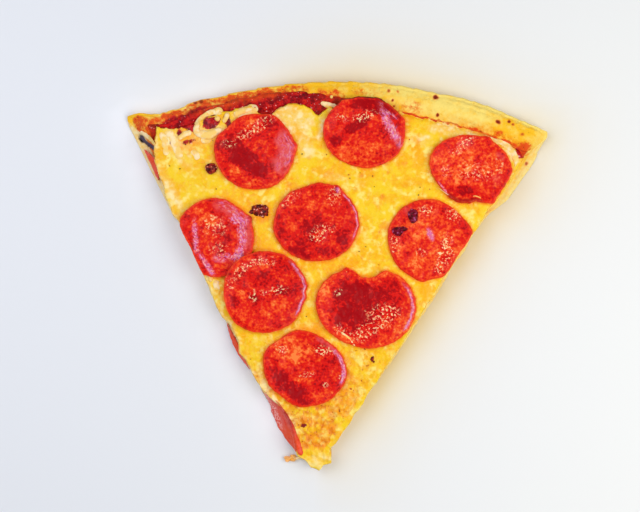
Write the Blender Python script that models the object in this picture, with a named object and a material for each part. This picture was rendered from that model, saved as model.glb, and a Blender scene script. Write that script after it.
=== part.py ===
"""A slice of thin-crust pepperoni pizza: one cut from a round pie shared between six.

The slice is set out by radius and bearing from the middle of the whole pizza, with +Y running
out to the crust, +X to the right of the slice and +Z up. Lengths are in millimetres and bearings
in degrees from +Y towards +X. Every mesh is made in metres and hangs from one empty, which moves
the slice so that the origin lies on the board, under the middle of the crust's outline.
"""

import math
from typing import NamedTuple

import bpy
from mathutils import Vector, noise


def smoothstep(low, high, value):
    """0 below low, 1 above high and a soft curve between."""
    share = min(max((value - low) / (high - low), 0.0), 1.0)
    return share * share * (3.0 - 2.0 * share)


class Swell(NamedTuple):
    """A local rise, shaped as a bell curve: its height, where it is and how far it spreads."""

    height: float
    middle: float
    spread: float

    def at(self, place):
        """The rise at a place."""
        return self.height * math.exp(-(((place - self.middle) / self.spread) ** 2))


class Ramp(NamedTuple):
    """A soft change from one value to another between two places."""

    before: float
    after: float
    start: float
    end: float

    def at(self, place):
        """The value at a place."""
        return self.before + (self.after - self.before) * smoothstep(self.start, self.end, place)


MM = 0.001
GAP = 0.35

# The cut and the outer edge of the pizza. Swells and ramps run along a radius or a bearing.
HALF_OPENING = 29.75
RIM_CIRCLE_RADIUS = 197.7
RIM_CIRCLE_CENTRE = Vector((14.0, -20.9))
LEFT_SPUR = Swell(7.0, -HALF_OPENING, 2.4)
TIP_RADIUS = 9.6
TIP_FLARE = 6.5
TIP_MIDDLE = 0.2
TIP_LEFT_WIDTH = 1.2
TIP_RIGHT_WIDTH = 0.9
TIP_RAGGEDNESS = 0.5
LEFT_DRIFT = -0.9
LEFT_FULL = Swell(0.9, 88.0, 14.0)
LEFT_WAVER = 0.25
RIGHT_LEDGE = Ramp(-0.4, 2.8, 143.0, 151.0)
RIGHT_FLARE = Swell(2.4, 15.0, 2.6)
RIGHT_HOLLOW = Swell(-0.5, 118.0, 22.0)
RIGHT_WAVER = 0.15

# How far the sides lean in from foot to top
CUT_LEAN = 0.7
LEAN_UNDER_OFFCUT = Swell(3.9, 31.0, 12.5)
LEAN_AT_LEFT_CORNER = Ramp(0.0, 3.9, 116.0, 150.0)
LEAN_AT_RIGHT_CORNER = Ramp(0.0, 2.9, 141.0, 150.0)

# The dough
SHEET_HEIGHT = Ramp(3.4, 4.6, 8.0, 90.0)
UNEVENNESS = 0.3
UNEVEN_SCALE = 34.0
RIM_HEIGHT = Ramp(7.4, 10.4, -16.0, 16.0)
RIM_LUMPS = 0.35
BARE_RIM = Ramp(3.0, 11.0, -10.0, 13.0)
BARE_CORNER = Swell(4.0, -HALF_OPENING, 3.5)
CREST_SHARE = 0.4
CREST_INSET = 2.0
ROLL_SLOPE = 8.5
ROLL_DROP = 0.45
UNDERCUT = 2.2
BELLY_HEIGHT = 0.42
BELLY_LEAN = 0.35
BELLY_OUT = 0.8

# The layers on the dough
SAUCE_THICKNESS = 0.9
CHEESE_THICKNESS = 2.3
EDGE_SHARE = 0.35
LAYER_TAPER = 5.0
CHEESE_INSET = 7.2
CHEESE_WAVER = 0.8
CHEESE_BARE_PATCH = Swell(6.0, -1.5, 3.2)
CHEESE_MEETS_RIM = Ramp(0.0, 1.0, 2.0, 12.0)
SAUCE_SHOWING = 1.2
TURN_UP_ROOM = Ramp(0.5, 0.0, 8.0, 24.0)

# How finely the layers are divided
ACROSS = 20
ALONG = 19
ROLL_ROWS = 5
ROW_CROWDING = 0.5

# Pepperoni
SLICE_THICKNESS = 1.6
SLICE_SEGMENTS = 28
SLICE_RINGS = (0.34, 0.66, 0.9, 1.0)
ROUNDED_FROM = 0.8
EDGE_ROUNDING = 0.35
THREE_LOBES = 0.012
FIVE_LOBES = 0.008
NOTCH_SPREAD = 20.0
FLEX = 4.0
FLEX_POINTS = 8
LIFT_RUN = 9.0

# The cut-off pieces of pepperoni on the left side
OFFCUT_THICKNESS = 1.3
OFFCUT_STEPS = 14
OFFCUT_WIDTHS = 3
OFFCUT_CLEARANCE = 0.5
OFFCUT_BLUNTNESS = 0.12


class Pepperoni(NamedTuple):
    """One slice of sausage: where it lies, its two radii and how it baked."""

    name: str
    x: float
    y: float
    radius_x: float
    radius_y: float
    turn: float = 0.0
    cup: float = 0.6
    curl: float = 0.0
    curl_towards: float = 90.0
    notch: float = 0.0
    notch_at: float = 90.0
    cut_left: float = -1.2
    cut_right: float = -1.2


PEPPERONI = (
    Pepperoni("pepperoni_1", -31.8, 143.7, 17.6, 16.4, turn=8.0),
    Pepperoni("pepperoni_2", 14.3, 154.8, 17.9, 15.5, cup=0.5, curl=1.0, curl_towards=88.0),
    Pepperoni("pepperoni_3", 61.7, 142.6, 18.3, 14.4, turn=-14.0, curl=0.8, curl_towards=262.0),
    Pepperoni("pepperoni_4", -46.7, 105.6, 17.4, 17.2, cut_left=-0.6),
    Pepperoni("pepperoni_5", -3.3, 115.2, 18.4, 17.2, turn=6.0),
    Pepperoni("pepperoni_6", 45.2, 111.0, 17.9, 17.6, cup=0.3),
    Pepperoni("pepperoni_7", -23.3, 84.2, 18.3, 17.3, turn=-10.0, cup=0.4),
    Pepperoni("pepperoni_8", 20.8, 80.6, 21.2, 17.4, turn=-4.0, notch=3.8, notch_at=94.0),
    Pepperoni("pepperoni_9", -4.4, 51.2, 17.6, 16.2, cup=0.5),
)


class Offcut(NamedTuple):
    """A sliver of sausage along the left cut, a segment of a disc with a straight long side.

    The straight side runs outside the slice's foot, or inside it where negative. The round side
    stands off it by the bulge. Each has a least height, for a sliver that only leans.
    """

    name: str
    first_radius: float
    last_radius: float
    straight_side: float
    bulge: float
    straight_height: float = 0.0
    round_height: float = 0.0


OFFCUTS = (
    Offcut("pepperoni_offcut_tip", 18.0, 46.0, -0.2, -6.0),
    Offcut("pepperoni_offcut_side", 57.0, 80.0, 0.4, 2.3, 3.2, 0.4),
    Offcut("pepperoni_offcut_corner", 148.0, 163.0, -1.0, -3.0),
)


def unevenness(spot, seed):
    """The slow, soft rise and fall of a layer's surface."""
    place = Vector((spot.x / UNEVEN_SCALE, spot.y / UNEVEN_SCALE, seed))
    return UNEVENNESS * noise.noise(place)


def polar(x, y):
    """Radius and bearing of a point from the middle of the whole pizza."""
    return math.hypot(x, y), math.degrees(math.atan2(x, y))


def cartesian(radius, bearing):
    """The point at a radius and bearing."""
    angle = math.radians(bearing)
    return Vector((radius * math.sin(angle), radius * math.cos(angle)))


# Outline -------------------------------------------------------------------------------------


def outer_radius(bearing):
    """The pizza's edge: an arc off the pizza's middle, with a spur dragged out at the left."""
    ray = cartesian(1.0, bearing)
    along = ray.dot(RIM_CIRCLE_CENTRE)
    reach = along**2 - RIM_CIRCLE_CENTRE.length_squared + RIM_CIRCLE_RADIUS**2
    return along + math.sqrt(reach) + LEFT_SPUR.at(bearing)


def tip_radius(side):
    """The torn tip, for side running from -1 at the left cut to 1 at the right cut."""
    half_width = TIP_LEFT_WIDTH if side < TIP_MIDDLE else TIP_RIGHT_WIDTH
    ragged = TIP_RAGGEDNESS * math.sin(9.0 * side)
    return TIP_RADIUS + TIP_FLARE * ((side - TIP_MIDDLE) / half_width) ** 2 + ragged


def left_reach(radius):
    """How far the left side stands beyond a straight cut."""
    return LEFT_DRIFT + LEFT_FULL.at(radius) + LEFT_WAVER * math.sin(radius / 7.0)


def right_reach(radius):
    """How far the right side stands beyond a straight cut, with the ledge by the crust."""
    local = RIGHT_FLARE.at(radius) + RIGHT_HOLLOW.at(radius)
    return RIGHT_LEDGE.at(radius) + local + RIGHT_WAVER * math.sin(radius / 5.0)


def left_lean(radius):
    """How far in the left side leans from its foot to its top."""
    return CUT_LEAN + LEAN_UNDER_OFFCUT.at(radius) + LEAN_AT_LEFT_CORNER.at(radius)


def right_lean(radius):
    """How far in the right side leans from its foot to its top."""
    return CUT_LEAN + LEAN_AT_RIGHT_CORNER.at(radius)


def across(side, radius, lean):
    """Bearing at a share of the way across; lean is 0 at the foot of the sides, 1 at the top."""
    left = left_reach(radius) - lean * left_lean(radius)
    right = right_reach(radius) - lean * right_lean(radius)
    left_bearing = -HALF_OPENING - math.degrees(left / radius)
    right_bearing = HALF_OPENING + math.degrees(right / radius)
    return left_bearing + (right_bearing - left_bearing) * (side + 1.0) / 2.0


# Heights -------------------------------------------------------------------------------------


def bare_rim(bearing):
    """Width of the crust that no sauce covers."""
    return BARE_RIM.at(bearing) + BARE_CORNER.at(bearing)


def sauce_radius(bearing):
    """Where the sauce ends."""
    return outer_radius(bearing) - bare_rim(bearing)


def cheese_radius(bearing):
    """Where the cheese ends: short of the sauce at the left, near its edge at the right."""
    waver = CHEESE_WAVER * math.sin(bearing / 2.1)
    left_inset = CHEESE_INSET + waver + CHEESE_BARE_PATCH.at(bearing)
    least_inset = bare_rim(bearing) + SAUCE_SHOWING
    inset = left_inset + (least_inset - left_inset) * CHEESE_MEETS_RIM.at(bearing)
    return outer_radius(bearing) - max(inset, least_inset)


def rim_height(bearing):
    """Height of the crust's crest, lower towards the left corner."""
    return RIM_HEIGHT.at(bearing) + RIM_LUMPS * math.sin(bearing / 2.7)


def dough_top(radius, bearing):
    """The top of the dough: a thin sheet that swells into the crust's roll."""
    sheet = SHEET_HEIGHT.at(radius) + unevenness(cartesian(radius, bearing), 0.0)
    inset = outer_radius(bearing) - radius
    crest_inset = CREST_SHARE * bare_rim(bearing) + CREST_INSET
    rise = rim_height(bearing) - sheet
    if inset > crest_inset:
        return sheet + rise * (1.0 - smoothstep(0.0, ROLL_SLOPE, inset - crest_inset))
    return sheet + rise * (1.0 - ROLL_DROP * ((crest_inset - inset) / crest_inset) ** 2)


def taper(radius, edge):
    """Thins a layer towards its outer edge."""
    return 1.0 - (1.0 - EDGE_SHARE) * smoothstep(edge - LAYER_TAPER, edge, radius)


def sauce_top(radius, bearing):
    """The top of the sauce."""
    thickness = SAUCE_THICKNESS * taper(radius, sauce_radius(bearing))
    return dough_top(radius, bearing) + GAP + thickness


def cheese_bottom(radius, bearing):
    """The underside of the cheese, with more room where the dough turns up into the roll."""
    room = TURN_UP_ROOM.at(outer_radius(bearing) - radius)
    return sauce_top(radius, bearing) + GAP + room


def cheese_top(radius, bearing):
    """The top of the melted cheese."""
    thickness = CHEESE_THICKNESS * taper(radius, cheese_radius(bearing))
    thickness += unevenness(cartesian(radius, bearing), 7.0)
    return cheese_bottom(radius, bearing) + thickness


def left_side_height(radius, inward):
    """Height of the leaning left side, a way in from its foot."""
    share = inward / left_lean(radius)
    top = dough_top(radius, across(-1.0, radius, 1.0))
    if share < BELLY_LEAN:
        return BELLY_HEIGHT * top * max(share, 0.0) / BELLY_LEAN
    return top * (BELLY_HEIGHT + (1.0 - BELLY_HEIGHT) * (share - BELLY_LEAN) / (1.0 - BELLY_LEAN))


def food_top(x, y):
    """The top of whichever layer lies uppermost at a point."""
    radius, bearing = polar(x, y)
    if radius < cheese_radius(bearing):
        return cheese_top(radius, bearing)
    if radius < sauce_radius(bearing):
        return sauce_top(radius, bearing)
    return dough_top(radius, bearing)


# Meshes --------------------------------------------------------------------------------------


def linear_colour(red, green, blue):
    """An everyday 0 to 255 colour as the linear values that a material takes."""
    return [((channel / 255.0 + 0.055) / 1.055) ** 2.4 for channel in (red, green, blue)] + [1.0]


def plain_material(name, colour, roughness):
    """A plain material in the food's main colour."""
    material = bpy.data.materials.new(name)
    material.use_nodes = True
    shader = material.node_tree.nodes["Principled BSDF"]
    shader.inputs["Base Color"].default_value = linear_colour(*colour)
    shader.inputs["Roughness"].default_value = roughness
    shader.inputs["Metallic"].default_value = 0.0
    return material


def add_object(name, points, faces, material, parent):
    """A named object from points in millimetres, hung from the slice's empty."""
    mesh = bpy.data.meshes.new(name)
    mesh.from_pydata([tuple(value * MM for value in point) for point in points], [], faces)
    mesh.validate()
    mesh.materials.append(material)
    mesh.shade_smooth()
    mesh.set_sharp_from_angle(angle=math.radians(40.0))
    piece = bpy.data.objects.new(name, mesh)
    piece.parent = parent
    bpy.context.scene.collection.objects.link(piece)
    return piece


def grid_faces(columns, rows, start, flipped=False):
    """Quads over a grid of points kept column by column, facing up unless flipped."""
    faces = []
    for column in range(columns - 1):
        for row in range(rows - 1):
            corner = start + column * rows + row
            quad = (corner, corner + rows, corner + rows + 1, corner + 1)
            faces.append(quad[::-1] if flipped else quad)
    return faces


def grid_border(columns, rows, start):
    """The grid's outer points in order: seen from above, counter-clockwise."""
    right_going = [start + column * rows for column in range(columns)]
    up_going = [start + (columns - 1) * rows + row for row in range(1, rows)]
    left_going = [start + column * rows + rows - 1 for column in range(columns - 2, -1, -1)]
    down_going = [start + row for row in range(rows - 2, 0, -1)]
    return right_going + up_going + left_going + down_going


def wall_faces(upper, lower):
    """Quads between two closed loops that run counter-clockwise, facing outwards."""
    faces = []
    for index, corner in enumerate(upper):
        following = (index + 1) % len(upper)
        faces.append((corner, lower[index], lower[following], upper[following]))
    return faces


def column_sides():
    """Shares of the way across the slice, from -1 at the left cut to 1 at the right."""
    return [2.0 * column / ACROSS - 1.0 for column in range(ACROSS + 1)]


def row_radius(side, row, edge_radius):
    """Radius of a row between the tip and a layer's outer edge, rows closing up at both."""
    even = row / ALONG
    share = even - ROW_CROWDING * math.sin(2.0 * math.pi * even) / (2.0 * math.pi)
    tip = tip_radius(side)
    return tip + (edge_radius(side * HALF_OPENING) - tip) * share


def layer(name, edge_radius, bottom, top, material, parent):
    """A solid sheet that runs through the slice between two heights."""
    lower_points = []
    upper_points = []
    for side in column_sides():
        for row in range(ALONG + 1):
            radius = row_radius(side, row, edge_radius)
            bearing = across(side, radius, 1.0)
            spot = cartesian(radius, bearing)
            lower_points.append((spot.x, spot.y, bottom(radius, bearing)))
            upper_points.append((spot.x, spot.y, top(radius, bearing)))
    columns = ACROSS + 1
    rows = ALONG + 1
    upper_start = len(lower_points)
    faces = grid_faces(columns, rows, 0, flipped=True)
    faces += grid_faces(columns, rows, upper_start)
    upper_loop = grid_border(columns, rows, upper_start)
    lower_loop = grid_border(columns, rows, 0)
    faces += wall_faces(upper_loop, lower_loop)
    return add_object(name, lower_points + upper_points, faces, material, parent)


def dough_radii(side):
    """Radii of the dough's rows: those under the sauce, then those over the bare roll."""
    radii = [row_radius(side, row, sauce_radius) for row in range(ALONG + 1)]
    inner = radii[-1]
    outer = outer_radius(side * HALF_OPENING) - BELLY_OUT
    radii += [inner + (outer - inner) * row / ROLL_ROWS for row in range(1, ROLL_ROWS + 1)]
    return radii


def dough(material, parent):
    """The base: a sheet and roll above, leaning cut sides and a flat floured underside."""
    rows = ALONG + ROLL_ROWS + 1
    columns = ACROSS + 1
    top_points = []
    belly_points = []
    foot_points = []
    for side in column_sides():
        for row, radius in enumerate(dough_radii(side)):
            bearing = across(side, radius, 1.0)
            spot = cartesian(radius, bearing)
            height = dough_top(radius, bearing)
            top_points.append((spot.x, spot.y, height))
            at_rim = row == rows - 1
            belly_radius = radius + BELLY_OUT if at_rim else radius
            foot_radius = radius - UNDERCUT if at_rim else radius
            spot = cartesian(belly_radius, across(side, belly_radius, BELLY_LEAN))
            belly_points.append((spot.x, spot.y, BELLY_HEIGHT * height))
            spot = cartesian(foot_radius, across(side, foot_radius, 0.0))
            foot_points.append((spot.x, spot.y, 0.0))
    border = grid_border(columns, rows, 0)
    points = list(top_points)
    faces = grid_faces(columns, rows, 0)
    loops = [border]
    for ring in (belly_points, foot_points):
        start = len(points)
        points += [ring[index] for index in border]
        loops.append(list(range(start, len(points))))
        faces += wall_faces(loops[-2], loops[-1])
    middle = len(points)
    points.append((0.0, RIM_CIRCLE_RADIUS / 2.0, 0.0))
    foot = loops[-1]
    for index, corner in enumerate(foot):
        faces.append((corner, middle, foot[(index + 1) % len(foot)]))
    return add_object("dough", points, faces, material, parent)


# Pepperoni -----------------------------------------------------------------------------------


def cut_distance(slice_, direction, hand, offset):
    """Distance from a slice's middle along a direction to a side cut; hand is -1 or 1."""
    angle = math.radians(HALF_OPENING)
    outward = Vector((hand * math.cos(angle), -math.sin(angle)))
    facing = direction.dot(outward)
    if facing <= 0.0:
        return math.inf
    return (offset - Vector((slice_.x, slice_.y)).dot(outward)) / facing


def slice_reach(slice_, angle):
    """Distance from a slice's middle to its edge: an uneven oval, nicked and cut as baked."""
    direction = Vector((math.cos(angle), math.sin(angle)))
    turned = angle - math.radians(slice_.turn)
    oval = 1.0 / math.hypot(math.cos(turned) / slice_.radius_x, math.sin(turned) / slice_.radius_y)
    lobes = THREE_LOBES * math.sin(3.0 * angle + slice_.x) + FIVE_LOBES * math.sin(5.0 * angle)
    away = math.remainder(math.degrees(angle) - slice_.notch_at, 360.0)
    reach = oval * (1.0 + lobes) - Swell(slice_.notch, 0.0, NOTCH_SPREAD).at(away)
    left = cut_distance(slice_, direction, -1.0, slice_.cut_left)
    right = cut_distance(slice_, direction, 1.0, slice_.cut_right)
    return min(reach, left, right)


def lift_over(slice_, x, y):
    """How far a slice lifts the one above it: all of its height within its edge, less beyond."""
    away = Vector((x - slice_.x, y - slice_.y))
    edge = slice_reach(slice_, math.atan2(away.y, away.x))
    nearness = 1.0 - smoothstep(edge, edge + LIFT_RUN, away.length)
    return (SLICE_THICKNESS + GAP + slice_.cup) * nearness


def resting_height(x, y, beneath):
    """The highest food within the reach of the sausage's stiffness, plus slices beneath."""
    heights = [food_top(x, y)]
    for index in range(FLEX_POINTS):
        angle = 2.0 * math.pi * index / FLEX_POINTS
        heights.append(food_top(x + FLEX * math.cos(angle), y + FLEX * math.sin(angle)))
    return max(heights) + sum(lift_over(other, x, y) for other in beneath)


def pepperoni(slice_, beneath, material, parent):
    """A baked slice of sausage: a thin disc with a cupped, rounded edge, lying on the food."""
    lower_points = []
    upper_points = []
    for ring in (0.0,) + SLICE_RINGS:
        for segment in range(SLICE_SEGMENTS if ring else 1):
            angle = 2.0 * math.pi * segment / SLICE_SEGMENTS
            reach = ring * slice_reach(slice_, angle)
            x = slice_.x + reach * math.cos(angle)
            y = slice_.y + reach * math.sin(angle)
            facing = math.cos(angle - math.radians(slice_.curl_towards))
            curl = slice_.curl * ring**3 * max(facing, 0.0) ** 2
            height = resting_height(x, y, beneath) + GAP + slice_.cup * ring**4 + curl
            rounding = EDGE_ROUNDING * smoothstep(ROUNDED_FROM, 1.0, ring)
            lower_points.append((x, y, height + rounding * 0.5))
            upper_points.append((x, y, height + SLICE_THICKNESS - rounding))
    points = lower_points + upper_points
    upper_start = len(lower_points)
    faces = disc_faces(0, flipped=True) + disc_faces(upper_start)
    edge = upper_start - SLICE_SEGMENTS
    lower_loop = list(range(edge, upper_start))
    upper_loop = [index + upper_start for index in lower_loop]
    faces += wall_faces(upper_loop, lower_loop)
    return add_object(slice_.name, points, faces, material, parent)


def disc_faces(start, flipped=False):
    """A fan and rings of quads round a middle point, facing up unless flipped."""
    faces = []
    for segment in range(SLICE_SEGMENTS):
        following = (segment + 1) % SLICE_SEGMENTS
        inner = start + 1
        faces.append((start, inner + segment, inner + following))
        for ring in range(1, len(SLICE_RINGS)):
            outer = inner + SLICE_SEGMENTS
            faces.append((inner + segment, outer + segment, outer + following, inner + following))
            inner = outer
    return [face[::-1] for face in faces] if flipped else faces


def offcut(piece, material, parent):
    """A sliver of sausage lying against the left side, from its low edge up to its high one."""
    lower_points = []
    upper_points = []
    for step in range(OFFCUT_STEPS + 1):
        share = step / OFFCUT_STEPS
        radius = piece.first_radius + (piece.last_radius - piece.first_radius) * share
        arch = OFFCUT_BLUNTNESS + (1.0 - OFFCUT_BLUNTNESS) * math.sin(math.pi * share)
        for width in range(OFFCUT_WIDTHS + 1):
            part = width / OFFCUT_WIDTHS
            furthest_in = OFFCUT_CLEARANCE - left_lean(radius)
            reach = max(piece.straight_side + piece.bulge * arch * part, furthest_in)
            off_cut = left_reach(radius) + reach
            spot = cartesian(radius, -HALF_OPENING - math.degrees(off_cut / radius))
            least = piece.straight_height * (1.0 - part) + piece.round_height * part
            height = max(left_side_height(radius, -reach), least) + GAP
            lower_points.append((spot.x, spot.y, height))
            upper_points.append((spot.x, spot.y, height + OFFCUT_THICKNESS))
    columns = OFFCUT_STEPS + 1
    rows = OFFCUT_WIDTHS + 1
    upper_start = len(lower_points)
    inward = piece.bulge < 0.0
    faces = grid_faces(columns, rows, 0, flipped=not inward)
    faces += grid_faces(columns, rows, upper_start, flipped=inward)
    upper_loop = grid_border(columns, rows, upper_start)
    lower_loop = grid_border(columns, rows, 0)
    walls = wall_faces(upper_loop, lower_loop)
    faces += [face[::-1] for face in walls] if inward else walls
    return add_object(piece.name, lower_points + upper_points, faces, material, parent)


def remove_everything():
    """Starts from an empty scene."""
    for piece in list(bpy.data.objects):
        bpy.data.objects.remove(piece)


def centre_on_origin(empty, base):
    """Moves the slice so that the origin lies under the middle of its outline."""
    for axis in range(2):
        places = [vertex.co[axis] for vertex in base.data.vertices]
        empty.location[axis] = -(min(places) + max(places)) / 2.0


def main():
    """Builds the slice from the board up."""
    remove_everything()
    whole = bpy.data.objects.new("slice_place", None)
    bpy.context.scene.collection.objects.link(whole)

    crust_colour = plain_material("baked_dough", (240, 190, 88), 0.75)
    sauce_colour = plain_material("tomato_sauce", (176, 44, 40), 0.35)
    cheese_colour = plain_material("melted_cheese", (248, 207, 66), 0.35)
    sausage_colour = plain_material("pepperoni", (214, 46, 32), 0.3)

    base = dough(crust_colour, whole)
    layer(
        "tomato_sauce",
        sauce_radius,
        lambda radius, bearing: dough_top(radius, bearing) + GAP,
        sauce_top,
        sauce_colour,
        whole,
    )
    layer("cheese", cheese_radius, cheese_bottom, cheese_top, cheese_colour, whole)

    overlapped = {"pepperoni_7": ("pepperoni_4",)}
    for slice_ in PEPPERONI:
        names = overlapped.get(slice_.name, ())
        beneath = [other for other in PEPPERONI if other.name in names]
        pepperoni(slice_, beneath, sausage_colour, whole)
    for piece in OFFCUTS:
        offcut(piece, sausage_colour, whole)
    centre_on_origin(whole, base)


if __name__ == "__main__":
    main()
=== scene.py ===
"""The looks of a slice of pepperoni pizza, laid out as a Blender add-on.

Each operator builds one piece of the slice, or one group of like pieces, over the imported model's
solids. Sizes are in millimetres until a mesh is written. Places on the slice are given by radius
and bearing from the middle of the whole pizza, with bearing 0 along +Y and growing towards +X.
"""

import math
from typing import NamedTuple

import bpy
import numpy as np
from bpy.props import FloatProperty, FloatVectorProperty, PointerProperty
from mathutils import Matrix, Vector
from mathutils.bvhtree import BVHTree


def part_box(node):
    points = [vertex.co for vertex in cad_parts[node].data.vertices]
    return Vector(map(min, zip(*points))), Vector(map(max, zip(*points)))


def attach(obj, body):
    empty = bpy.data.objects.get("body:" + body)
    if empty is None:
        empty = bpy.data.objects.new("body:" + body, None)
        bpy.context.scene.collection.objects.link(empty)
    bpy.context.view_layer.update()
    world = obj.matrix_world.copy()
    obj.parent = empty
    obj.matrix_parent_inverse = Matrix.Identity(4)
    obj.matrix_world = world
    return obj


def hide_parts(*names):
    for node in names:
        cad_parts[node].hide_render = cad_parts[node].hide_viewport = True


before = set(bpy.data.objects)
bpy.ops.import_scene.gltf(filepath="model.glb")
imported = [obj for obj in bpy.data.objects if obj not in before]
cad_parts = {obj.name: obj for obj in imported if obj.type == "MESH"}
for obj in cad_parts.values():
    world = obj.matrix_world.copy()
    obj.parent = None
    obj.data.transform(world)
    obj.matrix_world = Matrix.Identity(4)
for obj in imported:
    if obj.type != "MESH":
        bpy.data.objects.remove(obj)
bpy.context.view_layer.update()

bl_info = {
    "name": "Pepperoni Pizza Slice",
    "version": (1, 0, 0),
    "blender": (4, 5, 0),
    "location": "View3D > Sidebar > Pizza",
    "description": "Dresses a slice of pepperoni pizza with baked, melted and oily surfaces",
    "category": "Add Mesh",
}

PEPPERONI_NODES = [name for name in sorted(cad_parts) if name[-1].isdigit()]
MM = 0.001

# The whole pizza's middle, and the point inside the slice that its skins close towards.
PIZZA_MIDDLE = np.array((-2.9, -93.1))
SLICE_MIDDLE = np.array((0.0, 8.0))

# How far the camera is turned, in degrees. The marks on the sausage follow it.
FACING = 3.72

# How many random slopes lie each way in the lattice behind the relief.
LATTICE = 256


# Sizes and colours ---------------------------------------------------------------------------


def millimetres(name, description, default):
    """A size that a user may change, given in millimetres and kept in metres."""
    return FloatProperty(
        name=name,
        description=description,
        default=default * MM,
        min=0.0,
        precision=5,
        subtype="DISTANCE",
    )


def colour(name, description, red, green, blue):
    """A colour that a user may change, given as it looks on a screen."""
    return FloatVectorProperty(
        name=name,
        description=description,
        default=(red / 255.0, green / 255.0, blue / 255.0),
        subtype="COLOR_GAMMA",
        size=3,
        min=0.0,
        max=1.0,
    )


class PizzaSizes(bpy.types.PropertyGroup):
    """How deep the food's relief is."""

    cheese_lumps: millimetres("Cheese lumps", "Height of the melted cheese's lumps", 0.3)
    cheese_strands: millimetres("Cheese strands", "Height of half-melted strands", 0.22)
    cheese_lip: millimetres("Cheese lip", "Height of the cheese round each pepperoni", 0.55)
    seat_depth: millimetres("Seat depth", "How far pepperoni sinks into the cheese", 0.6)
    cup_height: millimetres("Cup height", "How far a slice's edge curls up", 1.3)
    sausage_grain: millimetres("Sausage grain", "Height of the meat's and fat's grain", 0.16)
    crumb_depth: millimetres("Crumb depth", "Depth of the pores in the cut dough", 0.55)
    rim_lumps: millimetres("Rim lumps", "Height of the lumps on the crust's rim", 0.35)
    sauce_grain: millimetres("Sauce grain", "Height of the tomato's grain", 0.22)


class PizzaColours(bpy.types.PropertyGroup):
    """The food's main colours."""

    cheese: colour("Cheese", "Melted yellow cheese", 246, 204, 34)
    cheese_gold: colour("Golden cheese", "Deeper yellow cheese", 246, 177, 22)
    # Pale cream flecks on the cheese, partly painted highlights.
    cheese_highlight: colour("Light cheese", "Paler flecks in the cheese", 251, 227, 116)
    cheese_orange: colour("Oily cheese", "Cheese stained by sausage oil", 247, 152, 22)
    cheese_pale: colour("Pale cheese", "Cheese that is only just melted", 247, 205, 110)
    cheese_white: colour("Milky cheese", "Whitish places in the pale cheese", 255, 244, 196)
    shred: colour("Shreds", "Whitish shreds of cheese", 252, 226, 172)
    # Browned creases, and painted shade in the cheese's dips.
    rust_and_shade: colour("Rusty cheese", "Browned creases in the cheese", 216, 106, 20)
    toast: colour("Toasted spots", "Browned cheese", 206, 92, 18)
    sausage: colour("Pepperoni", "Oily red sausage", 222, 22, 14)
    sausage_deep: colour("Deep pepperoni", "Dark, dense meat", 164, 0, 10)
    # Painted glints: pale specks of reflected light laid on as colour where a slice is oily.
    oil_glints: colour("Oil beads", "Pale beads of oil and fat", 255, 224, 164)
    sausage_fat: colour("Sausage fat", "Orange, fatty meat", 244, 80, 26)
    fat_fleck: colour("Fat flecks", "Small pieces of fat in the meat", 252, 140, 64)
    maroon: colour("Dense flecks", "Small dark pieces in the meat", 128, 0, 14)
    # Painted sheen: the pink reflection along a slice's edge, laid on as colour.
    pink_sheen: colour("Sausage edge", "Pink, dry edge of a slice", 224, 80, 80)
    # Painted sheen: the pale lavender reflection along a slice's edge, laid on as colour.
    lavender_sheen: colour("Sausage bloom", "Pale bloom on a slice's dry edge", 224, 128, 192)
    offcut: colour("Offcut", "Dull pink side of a slice that was cut through", 228, 96, 84)
    glint: colour("Wet glints", "Pinkish glints on wet, dark places", 255, 196, 190)
    sauce: colour("Sauce", "Cooked tomato sauce", 200, 18, 20)
    sauce_dark: colour("Dark sauce", "Sauce that has baked darker", 118, 0, 12)
    crust: colour("Crust", "Pale golden baked rim", 248, 219, 112)
    crust_golden: colour("Golden crust", "Deeper golden rim", 250, 190, 30)
    crust_orange: colour("Oily crust", "Rim stained by oil and sauce", 228, 80, 18)
    rim_spot: colour("Rim spots", "Browned spots on the rim", 132, 36, 12)
    crumb: colour("Crumb", "Pale cut dough", 247, 226, 170)
    underside: colour("Underside", "Browned, floury base", 206, 152, 88)
    # Painted shade: the dark colour laid into the slit under the crust.
    hollow: colour("Hollow", "Shaded hollow under the crust", 84, 74, 92)
    burnt: colour("Burnt cheese", "Rusty, burnt cheese", 152, 34, 26)
    blister: colour("Blister", "Purplish blister on sausage", 120, 4, 36)
    char: colour("Char", "Burnt bits", 72, 10, 14)


def setting(name):
    """One of the sizes in use, in millimetres."""
    return getattr(bpy.context.scene.pizza_sizes, name) / MM


def linear(screen):
    """A screen colour as the linear values that shaders take."""
    channels = [c / 12.92 if c <= 0.04045 else ((c + 0.055) / 1.055) ** 2.4 for c in screen]
    return (*channels, 1.0)


def shade(wanted):
    """What a shader takes: one of the colours in use by its name, or anything else as it is."""
    if isinstance(wanted, str):
        return linear(getattr(bpy.context.scene.pizza_colours, wanted))
    return wanted


# Numbers over a surface ----------------------------------------------------------------------


def soft_step(low, high, value):
    """0 at low, 1 at high and a soft curve between; low may be the larger."""
    share = np.clip((value - low) / (high - low), 0.0, 1.0)
    return share * share * (3.0 - 2.0 * share)


def mix(first, second, share):
    """A value between two others."""
    return first * (1.0 - share) + second * share


def bell(value, middle, width):
    """A bell curve of height 1."""
    return np.exp(-(((value - middle) / width) ** 2))


def turned(bearing, middle):
    """How far bearings lie from one of them, the shorter way round."""
    return np.abs((bearing - middle + 180.0) % 360.0 - 180.0)


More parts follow.
